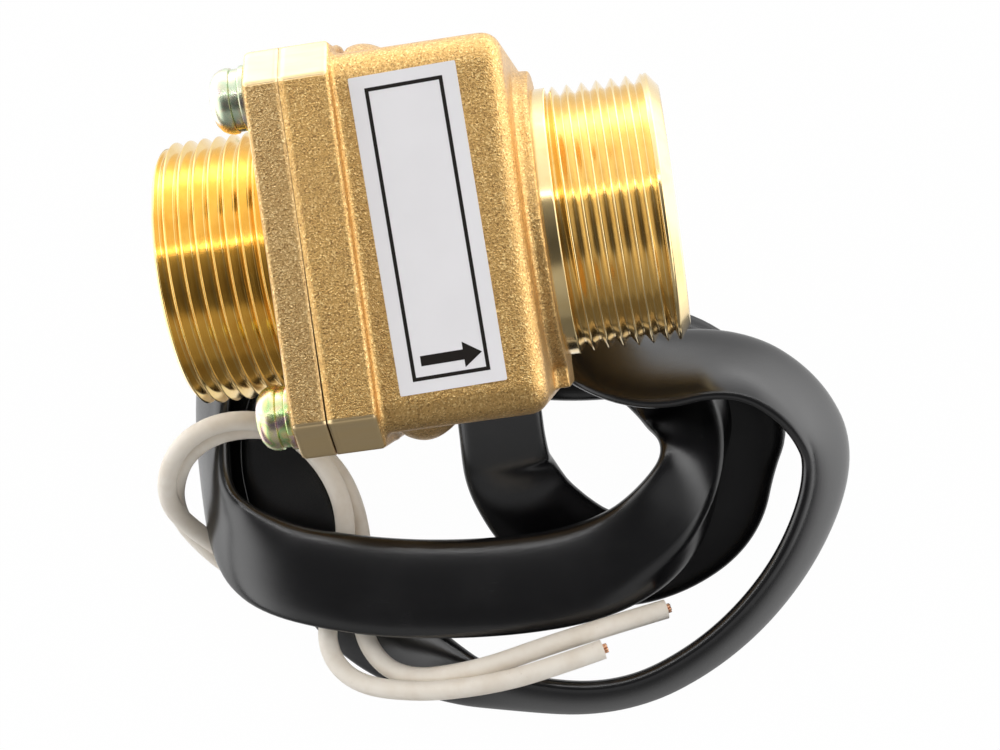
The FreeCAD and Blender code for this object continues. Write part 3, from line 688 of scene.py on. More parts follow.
@dataclass
class PipeThread:
    """Cut pipe thread with its chamfered mouth, end face and bore, made from a turned blank."""

    name: str
    root: float
    tip: float
    major_r: float = 20.955
    root_r: float = 19.48
    pitch: float = 2.309
    collar: tuple[tuple[float, float], ...] = ()
    land: float = 0.0
    mouth_x: float = 1.7
    mouth_r: float = 2.2
    bore_r: float = 15.0
    bore_len: float = 15.0
    mouth_steps: int = 6
    skin: float = 3.4
    per_pitch: int = 40
    around: int = 160

    def profile(self) -> list[tuple[float, float]]:
        """Outline from the root, along the thread, round the mouth and back down the bore."""
        way = 1.0 if self.tip > self.root else -1.0
        length = abs(self.tip - self.root)
        thread_end = length - self.mouth_x
        points = list(self.collar) or [(-1.2, self.root_r), (0.0, self.root_r)]
        count = max(2, int(round(thread_end / self.pitch * self.per_pitch)))
        points += [(thread_end * k / count, self.major_r) for k in range(count + 1)]
        steps = self.mouth_steps
        for k in range(1, steps + 1):
            points.append((thread_end + self.mouth_x * k / steps, self.major_r - self.mouth_r * k / steps))
        lip = self.major_r - self.mouth_r
        points += [(length, lip - 0.15), (length, (lip + self.bore_r) / 2), (length, self.bore_r + 0.5)]
        points += [(length - 0.15, self.bore_r + 0.1), (length - 0.5, self.bore_r)]
        points += [(length - self.bore_len, self.bore_r)]
        return [(self.root + way * x, r) for x, r in points]

    def rig(self, material: bpy.types.Material) -> NodeRig:
        """Node tree that cuts the helical groove into the turned blank."""
        names = {"Pitch": 2.309, "Depth": 1.475, "Crest Radius": 20.955, "Start": 0.0, "End": 1.0}
        names |= {"Fade": 0.6, "Sharpness": 0.95}
        rig = NodeRig("thread_cutter", names)
        place = rig.add("GeometryNodeInputPosition").outputs[0]
        split = rig.add("ShaderNodeSeparateXYZ", None, {0: place}).outputs
        x = rig.maths("DIVIDE", split[0], MM)
        angle = rig.maths("ARCTAN2", split[2], split[1])
        radius = rig.maths(
            "SQRT", rig.maths("ADD", rig.maths("POWER", split[1], 2.0), rig.maths("POWER", split[2], 2.0))
        )
        pitches = rig.maths("DIVIDE", x, rig.given("Pitch"))
        turns = rig.maths("SUBTRACT", pitches, rig.maths("DIVIDE", angle, TAU))
        sine = rig.maths("SINE", rig.maths("MULTIPLY", turns, TAU))
        wave = rig.maths("MULTIPLY", sine, rig.given("Sharpness"))
        flank = rig.maths("DIVIDE", rig.maths("ARCSINE", wave), rig.maths("ARCSINE", rig.given("Sharpness")))
        depth = rig.maths("MULTIPLY_ADD", flank, 0.5, 0.5)
        enter = self._ramp(rig, x, rig.given("Start"), rig.given("Fade"), 1.0)
        leave = self._ramp(rig, x, rig.given("End"), rig.given("Fade"), -1.0)
        window = rig.maths("MULTIPLY", enter, leave)
        cut = rig.maths("MULTIPLY", rig.maths("MULTIPLY", depth, rig.given("Depth")), window)
        bottom = rig.maths("MULTIPLY", rig.maths("SUBTRACT", rig.given("Crest Radius"), cut), MM)
        outer = rig.maths("MULTIPLY", rig.maths("SUBTRACT", rig.given("Crest Radius"), self.skin), MM)
        on_thread = rig.maths("GREATER_THAN", radius, outer)
        wanted = rig.maths("MINIMUM", radius, bottom)
        scale = rig.maths("DIVIDE", wanted, radius)
        scale = rig.maths("MULTIPLY_ADD", rig.maths("SUBTRACT", scale, 1.0), on_thread, 1.0)
        y_new, z_new = (rig.maths("MULTIPLY", split[k], scale) for k in (1, 2))
        moved = rig.add("ShaderNodeCombineXYZ", None, {0: split[0], 1: y_new, 2: z_new}).outputs[0]
        inputs = {"Geometry": rig.given("Geometry"), "Position": moved}
        shaped = rig.add("GeometryNodeSetPosition", None, inputs)
        rig.close(shaped.outputs[0], material)
        return rig

    @staticmethod
    def _ramp(
        rig: NodeRig,
        x: bpy.types.NodeSocket,
        edge: bpy.types.NodeSocket,
        fade: bpy.types.NodeSocket,
        way: float,
    ) -> bpy.types.NodeSocket:
        """Linear 0 to 1 window edge that rises (way 1) or falls (way -1) over the fade length."""
        past = rig.maths("MULTIPLY", rig.maths("SUBTRACT", x, edge), way)
        share = rig.add("ShaderNodeMath", {"operation": "DIVIDE", "use_clamp": True}, {0: past, 1: fade})
        return share.outputs[0]

    def build(self, material: bpy.types.Material) -> bpy.types.Object:
        """Make the threaded end and put it on the housing."""
        blank = MeshShop.lathe(self.name, self.profile(), self.around)
        if self.tip > self.root:
            low, high = self.root - 0.1, self.tip - self.land
        else:
            low, high = self.tip, self.root + 1.0
        values = {"Pitch": self.pitch, "Crest Radius": self.major_r, "Start": low, "End": high}
        item = self.rig(material).run(blank, {**values, "Depth": self.major_r - self.root_r, "Fade": 0.5})
        MeshShop.outward(item)
        item.data.shade_smooth()
        return ride_housing(item, "cast_brass")


@dataclass
class Casting:
    """Sand-cast part: the CAD form without its thread, with softened edges and cast swellings."""

    name: str
    node: str
    keep_from: float
    keep_to: float
    voxel_mm: float = 0.50
    rounds: int = 2
    joint_x: float = 24.1
    joint_side: float = 1.0
    joint_band: float = 0.7
    rim_from: float = 26.0
    lumps: tuple[tuple[float, float, float, float, float], ...] = ()

    def _merged_copy(self) -> bpy.types.Object:
        """Copy of the CAD node's mesh with its loose triangles joined."""
        mesh = frame["nodes"][self.node].data.copy()
        mesh.name = self.name
        item = bpy.data.objects.new(self.name, mesh)
        bpy.context.scene.collection.objects.link(item)
        return MeshShop.outward(item, 0.002)

    def _trim(self, item: bpy.types.Object) -> None:
        """Cut the thread blank away with a large ring that keeps the stations wanted."""
        low, high = self.keep_from, self.keep_to
        if low > 1.0:
            x0, x1 = -5.0, low
        else:
            x0, x1 = high, 90.0
        ring = [(x0, 10.0), (x0, 60.0), (x1, 60.0), (x1, 10.0)]
        cutter = MeshShop.outward(MeshShop.lathe("cutter", ring, 96, loop=True))
        tool = item.modifiers.new("trim", "BOOLEAN")
        tool.operation, tool.solver, tool.object = "DIFFERENCE", "EXACT", cutter
        MeshShop.bake(item)
        bpy.data.objects.remove(cutter)

    def _soften(self, item: bpy.types.Object) -> None:
        """Voxel remesh and a few smoothing rounds, for cast edges."""
        remesh = item.modifiers.new("cast skin", "REMESH")
        remesh.mode, remesh.voxel_size, remesh.use_smooth_shade = "VOXEL", self.voxel_mm * MM, True
        smooth = item.modifiers.new("cast edges", "SMOOTH")
        smooth.factor, smooth.iterations = 0.5, self.rounds
        MeshShop.bake(item)

    def _swell(self, item: bpy.types.Object) -> None:
        """Set the skin a little apart at the joint line and push it outwards at the cast lumps."""
        mesh = item.data
        count = len(mesh.vertices)
        points = np.empty(count * 3)
        normals = np.empty(count * 3)
        mesh.vertices.foreach_get("co", points)
        mesh.vertices.foreach_get("normal", normals)
        points, normals = points.reshape(-1, 3) / MM, normals.reshape(-1, 3)
        outer = np.maximum(np.abs(points[:, 1]), np.abs(points[:, 2])) > self.rim_from
        near = outer & (np.abs(points[:, 0] - self.joint_x) < self.joint_band)
        gap = 0.03 + 0.12 * np.clip((6.0 - points[:, 1]) / 36.0, 0, 1)
        points[near, 0] = self.joint_x + self.joint_side * gap[near]
        push = np.zeros(count)
        for x, y, z, size, height in self.lumps:
            away = np.linalg.norm((points - (x, y, z)) / (size, size, size * 1.4), axis=1)
            facing = np.clip(normals @ np.array([0.0, math.copysign(1.0, y), 0.0]), 0, 1)
            push += height * np.clip(1.0 - away**2, 0, 1) ** 1.2 * facing
        points += normals * push[:, None]
        mesh.vertices.foreach_set("co", (points * MM).ravel())
        mesh.update()

    def build(self, material: bpy.types.Material, slot: str) -> bpy.types.Object:
        """Make the casting and put it in place of its CAD node."""
        item = self._merged_copy()
        self._trim(item)
        self._soften(item)
        self._swell(item)
        item.data.shade_smooth()
        MeshShop.dress(item, material)
        return ride_housing(item, slot, self.node)


@dataclass
class FlangeScrews:
    """Four pan head screws with split and plain washers, placed at the flange corners."""

    pitch: float = 47.0
    flange_x: float = 18.7
    head_r: float = 4.9
    head_h: float = 3.5
    shank_r: float = 2.46
    reach: float = 14.0
    plain_t: float = 1.0
    plain_r: float = 5.0
    spring_t: float = 1.3
    spring_r: float = 4.6

    def _points(self) -> bpy.types.Object:
        """The four places as loose points."""
        h = self.pitch / 2
        places = np.array([(self.flange_x, y, z) for y, z in ((h, h), (-h, h), (-h, -h), (h, -h))]) * MM
        return MeshShop.from_arrays("corner_places", places, [])

    def _screw(self) -> bpy.types.Object:
        """Domed head with a cross recess and a shank, its bearing face at X = 0."""
        r, h = self.head_r, self.head_h
        dome = [(-h, 0.001), (-h * 0.995, r * 0.25), (-h * 0.95, r * 0.5), (-h * 0.84, r * 0.72)]
        dome += [(-h * 0.66, r * 0.88), (-h * 0.44, r * 0.965), (-h * 0.22, r)]
        dome += [(-0.12, r * 0.985), (0.0, r * 0.94)]
        shank = [(0.0, self.shank_r), (self.reach - 0.6, self.shank_r), (self.reach, self.shank_r - 0.5)]
        shank += [(self.reach, 0.001)]
        head = MeshShop.outward(MeshShop.lathe("screw_part", dome + shank, 48), 0.004)
        for turn in (0.0, math.pi / 2):
            blade = self._cross_blade(turn)
            tool = head.modifiers.new("recess", "BOOLEAN")
            tool.operation, tool.solver, tool.object = "DIFFERENCE", "EXACT", blade
            MeshShop.bake(head)
            bpy.data.objects.remove(blade)
        bevel = head.modifiers.new("soft edges", "BEVEL")
        bevel.width, bevel.segments, bevel.limit_method = 0.12 * MM, 2, "ANGLE"
        bevel.angle_limit = math.radians(38)
        MeshShop.bake(head)
        head.data.shade_smooth()
        return head

    def _cross_blade(self, turn: float) -> bpy.types.Object:
        """Tapered blade of the cross recess."""
        top, bottom, half = self.head_h + 0.5, self.head_h - 2.0, 0.55
        corners = []
        for x, w in ((-top, 2.5), (-bottom, 0.9)):
            corners += [(x, -w, -half), (x, w, -half), (x, w, half), (x, -w, half)]
        sides = [(0, 1, 2, 3), (7, 6, 5, 4), (0, 4, 5, 1), (1, 5, 6, 2), (2, 6, 7, 3), (3, 7, 4, 0)]
        spin = np.array(Matrix.Rotation(turn, 3, "X"))
        item = MeshShop.from_arrays("blade", (np.array(corners) @ spin.T) * MM, sides, smooth=False)
        return MeshShop.outward(item)

    def _split_washer(self) -> bpy.types.Object:
        """Square-section ring cut at one side, its ends a little apart round the ring."""
        steps, gap = 60, 0.16
        inner, outer, thick = self.shank_r + 0.24, self.spring_r, self.spring_t
        section = [(0, inner), (0, outer), (thick, outer), (thick, inner)]
        points, faces = [], []
        for k in range(steps + 1):
            turn = gap + (TAU - 2 * gap) * k / steps + math.pi / 2
            for x, r in section:
                points.append((x, r * math.cos(turn), r * math.sin(turn)))
        for k in range(steps):
            for e in range(4):
                n = (e + 1) % 4
                faces.append((k * 4 + e, k * 4 + n, (k + 1) * 4 + n, (k + 1) * 4 + e))
        faces += [(0, 1, 2, 3), tuple(steps * 4 + e for e in (3, 2, 1, 0))]
        item = MeshShop.outward(MeshShop.from_arrays("split_part", np.array(points) * MM, faces))
        bevel = item.modifiers.new("worn edges", "BEVEL")
        bevel.width, bevel.segments, bevel.limit_method = 0.14 * MM, 2, "ANGLE"
        return MeshShop.bake(item)

    def _plain_washer(self) -> bpy.types.Object:
        """Flat washer with rounded rims."""
        r0, r1, t, e = self.shank_r + 0.24, self.plain_r, self.plain_t, 0.14
        ring = [(e, r0), (0, r0 + e), (0, r1 - e * 1.6), (e, r1 - 0.03), (e * 2, r1)]
        ring += [(t - e, r1), (t, r1 - e), (t, r0 + e), (t - e, r0)]
        return MeshShop.outward(MeshShop.lathe("plain_part", ring, 56, loop=True))

    def _rig(self, part: bpy.types.Object, material: bpy.types.Material) -> NodeRig:
        """Node tree that sets one part on every place, each turned at random."""
        rig = NodeRig("fastener_row", {"Seat Offset": 0.0, "Seed": 3, "Turn": 1.0})
        part_info = rig.add("GeometryNodeObjectInfo", {"transform_space": "ORIGINAL"}, {"Object": part})
        turn = rig.add(
            "FunctionNodeRandomValue", {"data_type": "FLOAT"}, {2: 0.0, 3: TAU, "Seed": rig.given("Seed")}
        ).outputs[1]
        angle = rig.maths("MULTIPLY", turn, rig.given("Turn"))
        spin = rig.add("ShaderNodeCombineXYZ", None, {0: angle}).outputs[0]
        row = rig.add(
            "GeometryNodeInstanceOnPoints",
            None,
            {"Points": rig.given("Geometry"), "Instance": part_info.outputs["Geometry"], "Rotation": spin},
        )
        metres = rig.maths("MULTIPLY", rig.given("Seat Offset"), MM)
        offset = rig.add("ShaderNodeCombineXYZ", None, {0: metres})
        moved = rig.add(
            "GeometryNodeTranslateInstances",
            None,
            {"Instances": row.outputs[0], "Translation": offset.outputs[0], "Local Space": False},
        )
        rig.close(moved.outputs[0], material)
        return rig

    def build(self, material: bpy.types.Material) -> list[bpy.types.Object]:
        """Make the three rows of fasteners."""
        stack = self.plain_t + self.spring_t
        rows = (
            ("cap_screws", self._screw(), -stack, "cover_screws", 1.0, 5),
            ("split_washers", self._split_washer(), -stack, "spring_washers", 1.0, 8),
            ("flat_washers", self._plain_washer(), -self.plain_t, "plain_washers", 0.0, 2),
        )
        made = []
        for name, part, offset, node, turn, seed in rows:
            row = self._points()
            row.name = name
            self._rig(part, material).run(row, {"Seat Offset": offset, "Seed": seed, "Turn": turn})
            bpy.data.objects.remove(part)
            made.append(ride_housing(row, "zinc_screw", node))
        return made


@dataclass
class FlowLabel:
    """Film label on the box, with a thin border and the flow arrow."""

    x: float = 42.3
    y: float = 0.7
    z: float = 28.0
    width: float = 15.7
    length: float = 46.4
    tilt: float = 1.37
    thickness: float = 0.15
    inset: float = 2.15
    end_inset: float = 1.8
    line: float = 0.55
    arrow: tuple[tuple[float, float], ...] = (
        (-4.1, -19.34), (2.2, -19.34), (2.2, -20.47), (4.9, -18.6),
        (2.2, -16.73), (2.2, -17.86), (-4.1, -17.86),
    )

    def _set(self, points: np.ndarray) -> np.ndarray:
        """Label coordinates (across, along, up) to the row frame in metres."""
        a = math.radians(self.tilt)
        turn = np.array([[math.cos(a), -math.sin(a), 0], [math.sin(a), math.cos(a), 0], [0, 0, 1]])
        return (points @ turn.T + np.array([self.x, self.y, self.z])) * MM

    def _sheet(self) -> bpy.types.Object:
        """The film itself, with slightly rounded corners."""
        w, h, r = self.width / 2, self.length / 2, 0.25
        rim = []
        corners = ((w - r, h - r, 0), (-w + r, h - r, 90), (-w + r, -h + r, 180), (w - r, -h + r, 270))
        for cx, cy, a0 in corners:
            for k in range(4):
                a = math.radians(a0 + 30 * k)
                rim.append((cx + r * math.cos(a), cy + r * math.sin(a)))
        n = len(rim)
        points = [(x, y, 0.0) for x, y in rim] + [(x, y, self.thickness) for x, y in rim]
        faces = [tuple(range(n, 2 * n)), tuple(reversed(range(n)))]
        faces += [(k, (k + 1) % n, n + (k + 1) % n, n + k) for k in range(n)]
        return MeshShop.from_arrays("label_film", self._set(np.array(points)), faces, smooth=False)

    def _print(self) -> bpy.types.Object:
        """Border and flow arrow as one thin layer of ink."""
        z0, z1 = self.thickness * 0.6, self.thickness + 0.02
        w, h, t = self.width / 2 - self.inset, self.length / 2 - self.end_inset, self.line
        shapes = [
            [(-w, -h), (w, -h), (w, -h + t), (-w, -h + t)],
            [(-w, h - t), (w, h - t), (w, h), (-w, h)],
            [(-w, -h + t), (-w + t, -h + t), (-w + t, h - t), (-w, h - t)],
            [(w - t, -h + t), (w, -h + t), (w, h - t), (w - t, h - t)],
            list(self.arrow),
        ]
        points, faces = [], []
        for outline in shapes:
            base, n = len(points), len(outline)
            points += [(x, y, z0) for x, y in outline] + [(x, y, z1) for x, y in outline]
            faces += [tuple(range(base + n, base + 2 * n)), tuple(reversed(range(base, base + n)))]
            faces += [(base + k, base + (k + 1) % n, base + n + (k + 1) % n, base + n + k) for k in range(n)]
        return MeshShop.from_arrays("label_ink", self._set(np.array(points)), faces, smooth=False)

    def build(self, film: bpy.types.Material, ink: bpy.types.Material) -> None:
        """Make the film and its print."""
        ride_housing(MeshShop.dress(self._sheet(), film), "label", "flow_label")
        ride_housing(MeshShop.dress(self._print(), ink), "label")


@dataclass
class ReturnSpring:
    """Helical return spring."""

    start: float = 32.6
    end: float = 49.45
    mean_r: float = 12.6
    wire_r: float = 0.5
    turns: float = 4.5
    per_turn: int = 48
    sides: int = 12
    end_ease: float = 0.06
    anchor: float = 50.0
    travel: float = 6.0

    def build(self, material: bpy.types.Material) -> bpy.types.Object:
        """Make the spring on the housing, in place of its CAD node."""
        steps, sides = int(self.turns * self.per_turn), self.sides
        points, faces = [], []
        for k in range(steps + 1):
            t = k / steps
            ease = t - self.end_ease * math.sin(TAU * t)
            angle = self.turns * TAU * t
            x = self.start + (self.end - self.start) * ease
            for s in range(sides):
                a = TAU * s / sides
                r = self.mean_r + self.wire_r * math.cos(a)
                points.append((x + self.wire_r * math.sin(a), r * math.cos(angle), r * math.sin(angle)))
        for k in range(steps):
            for s in range(sides):
                n = (s + 1) % sides
                faces.append((k * sides + s, k * sides + n, (k + 1) * sides + n, (k + 1) * sides + s))
        faces += [tuple(reversed(range(sides))), tuple(steps * sides + s for s in range(sides))]
        item = MeshShop.outward(MeshShop.from_arrays("coil_spring", np.array(points) * MM, faces))
        MeshShop.dress(item, material)
        ride_housing(item, "spring_steel", "return_spring")
        free = self.anchor - (self.start - self.wire_r)
        keep = (free - self.travel) / free
        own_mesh(item)
        return item


def spline_points(
    name: str, route: list[tuple[float, float, float]], fineness: int
) -> tuple[bpy.types.Curve, np.ndarray]:
    """NURBS curve through a cable route and the points read from it.

    Args:
        name: Curve name.
        route: Control points in millimetres.
        fineness: Points for each run.

    Returns:
        The curve and its sampled points in metres.
    """
    curve = bpy.data.curves.new(name, "CURVE")
    curve.dimensions = "3D"
    spline = curve.splines.new("NURBS")
    spline.points.add(len(route) - 1)
    for point, place in zip(spline.points, route):
        point.co = (*(c * MM for c in place), 1.0)
    spline.use_endpoint_u = True
    spline.order_u = 3
    spline.resolution_u = fineness
    curve.resolution_u = fineness
    item = bpy.data.objects.new(name, curve)
    bpy.context.scene.collection.objects.link(item)
    bpy.context.view_layer.update()
    mesh = bpy.data.meshes.new_from_object(item.evaluated_get(bpy.context.evaluated_depsgraph_get()))
    points = np.array([v.co for v in mesh.vertices], float)
    bpy.data.meshes.remove(mesh)
    bpy.data.objects.remove(item)
    return curve, points


@dataclass
class FlatSleeve:
    """Black flat sleeve that lies in two loops round and under the body.

    Each row is a control point of the route, then the lean of the sleeve's width from level in degrees,
    its half width and its half thickness.
    """

    length: float = 0.75
    width: float = 0.017
    around: int = 36
    fineness: int = 14
    edge_power: float = 0.75
    face_power: float = 0.80
    fold_edge: float = 0.45
    fold_span: float = 0.55
    folds: tuple[tuple[float, float, float, float], ...] = ((32.6, 36.8, 1.0, 4.4),)
    rows: tuple[tuple[float, float, float, float, float, float], ...] = (
        (44.9, -24.5, -19.5, 0, 7.0, 2.0),
        (44.1, -35.6, -24.5, 0, 7.3, 2.0),
        (44.2, -41.9, -30.7, 0, 8.0, 2.0),
        (48.1, -51.0, -35.4, 0, 8.4, 1.8),
        (57.9, -59.9, -38.7, 0, 8.4, 1.8),
        (68.9, -59.1, -38.9, 0, 8.4, 1.9),
        (78.8, -53.8, -38.9, 0, 8.4, 1.9),
        (82.1, -44.2, -38.9, 0, 8.4, 1.9),
        (85.9, -37.1, -38.9, 0, 8.4, 1.9),
        (74.9, -23.2, -38.7, 0, 8.4, 1.9),
        (51.5, -22.1, -38.7, 0, 8.4, 1.9),
        (30.0, -13.2, -39.7, 0, 8.4, 1.9),
        (10.9, -19.5, -34.5, 0, 8.3, 1.9),
        (3.7, -31.3, -34.7, 8, 8.0, 2.0),
        (6.7, -48.7, -34.3, 4, 8.2, 2.0),
        (14.0, -64.9, -37.7, -10, 8.2, 2.0),
        (24.8, -73.2, -35.4, -34, 8.2, 1.9),
        (36.6, -79.3, -32.9, -60, 8.3, 1.9),
        (57.7, -83.5, -32.5, -66, 8.3, 1.9),
        (76.3, -76.5, -32.6, -66, 8.3, 1.9),
        (91.2, -63.3, -32.5, -65, 8.3, 1.9),
        (99.7, -46.6, -30.2, -61, 8.3, 1.9),
        (95.8, -34.7, -26.2, -56, 8.2, 1.9),
        (84.8, -26.0, -24.4, -52, 8.2, 1.9),
        (66.3, -27.0, -27.5, -36, 8.2, 1.9),
        (50.4, -7.5, -31.3, 0, 8.2, 1.9),
        (29.1, 3.0, -35.2, 0, 8.2, 1.9),
        (4.1, 6.4, -33.6, -16, 8.2, 1.9),
        (-6.0, -15.7, -33.5, -60, 7.6, 1.9),
        (-9.2, -39.2, -34.0, -66, 7.8, 1.9),
        (-2.2, -50.6, -26.6, -12, 8.5, 2.1),
        (17.9, -57.0, -24.3, 0, 8.6, 2.1),
        (38.6, -60.3, -27.7, 0, 8.6, 2.1),
        (56.7, -60.0, -29.5, 0, 8.6, 2.1),
        (69.5, -54.8, -29.1, -12, 8.6, 2.1),
        (78.4, -42.6, -29.4, -44, 8.5, 2.0),
        (75.7, -30.7, -34.6, -10, 8.2, 1.9),
        (64.2, -19.0, -35.2, 0, 8.2, 1.9),
        (58.9, -6.3, -34.5, 0, 8.2, 1.9),
        (52.0, 8.6, -39.7, 0, 8.0, 1.9),
        (39.7, 17.6, -38.8, 0, 8.0, 1.9),
        (22.8, 20.1, -38.9, 0, 8.0, 1.9),
        (11.6, 11.3, -38.9, 0, 8.0, 1.9),
        (7.5, -5.9, -38.9, 0, 8.0, 1.9),
        (0.7, -27.7, -38.9, 0, 7.8, 1.9),
        (0.5, -48.2, -38.9, 0, 7.4, 1.9),
    )

    def _centre(self) -> tuple[np.ndarray, np.ndarray]:
        """Points read from the route's spline, and the row number that each belongs to."""
        _, points = spline_points("sleeve_route", [row[:3] for row in self.rows], self.fineness)
        share = np.linspace(0, len(self.rows) - 2, len(points))
        return points, np.clip(share + 0.5, 0, len(self.rows) - 1)

    def build(self, material: bpy.types.Material) -> bpy.types.Object:
        """Sweep the flat section along the route, leaning and widening as the rows say."""
        path, number = self._centre()
        table = np.array(self.rows)
        index = np.arange(len(table))
        lean, half_w, half_t = (np.interp(number, index, table[:, c]) for c in (3, 4, 5))
        smooth = np.ones(9) / 9
        lean = np.convolve(np.pad(lean, 4, mode="edge"), smooth, mode="valid")
        tangent = np.gradient(path, axis=0)
        tangent /= np.linalg.norm(tangent, axis=1)[:, None]
        side = np.cross(tangent, [0, 0, 1.0])
        side /= np.maximum(np.linalg.norm(side, axis=1)[:, None], 1e-9)
        up = np.cross(side, tangent)
        a = np.radians(lean)[:, None]
        wide = side * np.cos(a) + up * np.sin(a)
        thin = up * np.cos(a) - side * np.sin(a)
        turn = np.arange(self.around) * TAU / self.around
        c, s = np.cos(turn), np.sin(turn)
        across = np.sign(c) * np.abs(c) ** self.edge_power
        rise = np.sign(s) * np.abs(s) ** self.face_power
        fold = np.zeros((len(path), self.around))
        for first, last, hand, depth in self.folds:
            share = np.clip((number - first) / (last - first), 0, 1)
            bend = depth * np.sin(math.pi * share)[:, None] ** 2
            fold += bend * np.clip(hand * across - self.fold_edge, 0, 1)[None, :] / self.fold_span
        rings = (
            path[:, None, :]
            + wide[:, None, :] * (half_w[:, None, None] * across[None, :, None]) * MM
            + thin[:, None, :] * (half_t[:, None, None] * rise[None, :, None] - fold[:, :, None]) * MM
        )
        count, n = len(path), self.around
        faces = [
            (i * n + k, i * n + (k + 1) % n, (i + 1) * n + (k + 1) % n, (i + 1) * n + k)
            for i in range(count - 1)
            for k in range(n)
        ]
        faces += [tuple(range(n)), tuple((count - 1) * n + k for k in reversed(range(n)))]
        item = MeshShop.outward(MeshShop.from_arrays("cable_band", rings.reshape(-1, 3), faces))
        run = np.concatenate([[0], np.cumsum(np.linalg.norm(np.diff(path, axis=0), axis=1))])
        for name, values in (("along", np.repeat(run / MM, n)), ("across", np.tile(across, count))):
            layer = item.data.attributes.new(name, "FLOAT", "POINT")
            layer.data.foreach_set("value", values.astype(np.float32))
        MeshShop.dress(item, material)
        ride_housing(item, "sleeve", "cable_sleeve")
        return item


@dataclass
class Lead:
    """One round insulated wire from the sleeve's end to its cut tip."""

    name: str
    node: str
    route: tuple[tuple[float, float, float], ...]
    length: float
    diameter: float = 0.0034
    fineness: int = 10

    def build(self, material: bpy.types.Material) -> bpy.types.Object:
        """Make the wire as a NURBS curve with a round bevel."""
        curve, _ = spline_points(self.name, list(self.route), self.fineness)
        curve.bevel_depth = self.diameter / 2
        curve.bevel_resolution = 6
        curve.use_fill_caps = True
        item = bpy.data.objects.new(self.name, curve)
        bpy.context.scene.collection.objects.link(item)
        curve.materials.append(material)
        ride_housing(item, "wire", self.node)
        return item


WIRE_A = (
    (-1.1, -47.6, -38.9), (-1.5, -50.8, -38.7), (-2.3, -54.0, -38.6), (-6.1, -51.4, -39.0),
    (-12.9, -45.6, -37.0), (-17.1, -38.0, -30.2), (-12.3, -28.8, -22.4), (-3.6, -24.5, -20.8),
    (5.9, -26.3, -25.4), (13.0, -35.0, -28.3), (15.3, -45.4, -28.7), (11.5, -57.0, -30.0),
    (7.3, -66.2, -30.6), (11.6, -73.8, -28.6), (23.9, -76.2, -25.2), (37.6, -75.5, -21.4),
    (48.3, -73.7, -21.2), (56.4, -72.1, -22.6),
)
WIRE_B = (
    (2.2, -48.0, -38.9), (1.3, -53.8, -39.2), (-0.1, -58.0, -39.3), (-4.2, -55.9, -39.3),
    (-12.3, -49.1, -39.2), (-17.3, -40.0, -35.7), (-12.0, -30.4, -25.8), (-3.5, -26.3, -23.8),
    (6.3, -28.0, -29.4), (13.9, -35.3, -32.0), (16.8, -45.3, -31.9), (16.0, -56.6, -30.8),
    (13.8, -67.0, -32.4), (20.0, -74.5, -29.6), (34.0, -73.5, -24.5), (46.7, -70.7, -24.4),
    (57.9, -69.1, -27.4), (67.8, -67.8, -29.6),
)


@dataclass
class StrandedTips:
    """Twisted strands that stand out of the cut wire ends."""

    routes: tuple = (WIRE_A, WIRE_B)
    out: float = 0.8
    strand_r: float = 0.27
    strands: int = 7
    lay_r: float = 0.56
    sides: int = 8

    def build(self, material: bpy.types.Material) -> bpy.types.Object:
        """Make the short strands at each end."""
        points, faces = [], []
        for route in self.routes:
            end, before = Vector(route[-1]), Vector(route[-2])
            way = (end - before).normalized()
            side = way.cross(Vector((0, 0, 1))).normalized()
            top = side.cross(way)
            ring_count = self.strands - 1
            for k in range(self.strands):
                off = 0.0 if k == ring_count else self.lay_r
                base_a = k * TAU / ring_count
                rings = []
                for step in range(5):
                    t = -0.4 + (self.out + 0.4) * step / 4
                    a = base_a + t * 0.5
                    middle = end + way * t + side * (off * math.cos(a)) + top * (off * math.sin(a))
                    ring = []
                    for s in range(self.sides):
                        b = s * TAU / self.sides
                        ring.append(len(points))
                        spot = middle + side * (self.strand_r * math.cos(b))
                        spot += top * (self.strand_r * math.sin(b))
                        points.append(tuple(spot))
                    rings.append(ring)
                for low, high in zip(rings, rings[1:]):
                    for s in range(self.sides):
                        n = (s + 1) % self.sides
                        faces.append((low[s], low[n], high[n], high[s]))
                faces += [tuple(rings[0]), tuple(reversed(rings[-1]))]
        item = MeshShop.outward(MeshShop.from_arrays("lead_tips", np.array(points) * MM, faces))
        MeshShop.dress(item, material)
        return ride_housing(item, "copper", "conductor_ends")


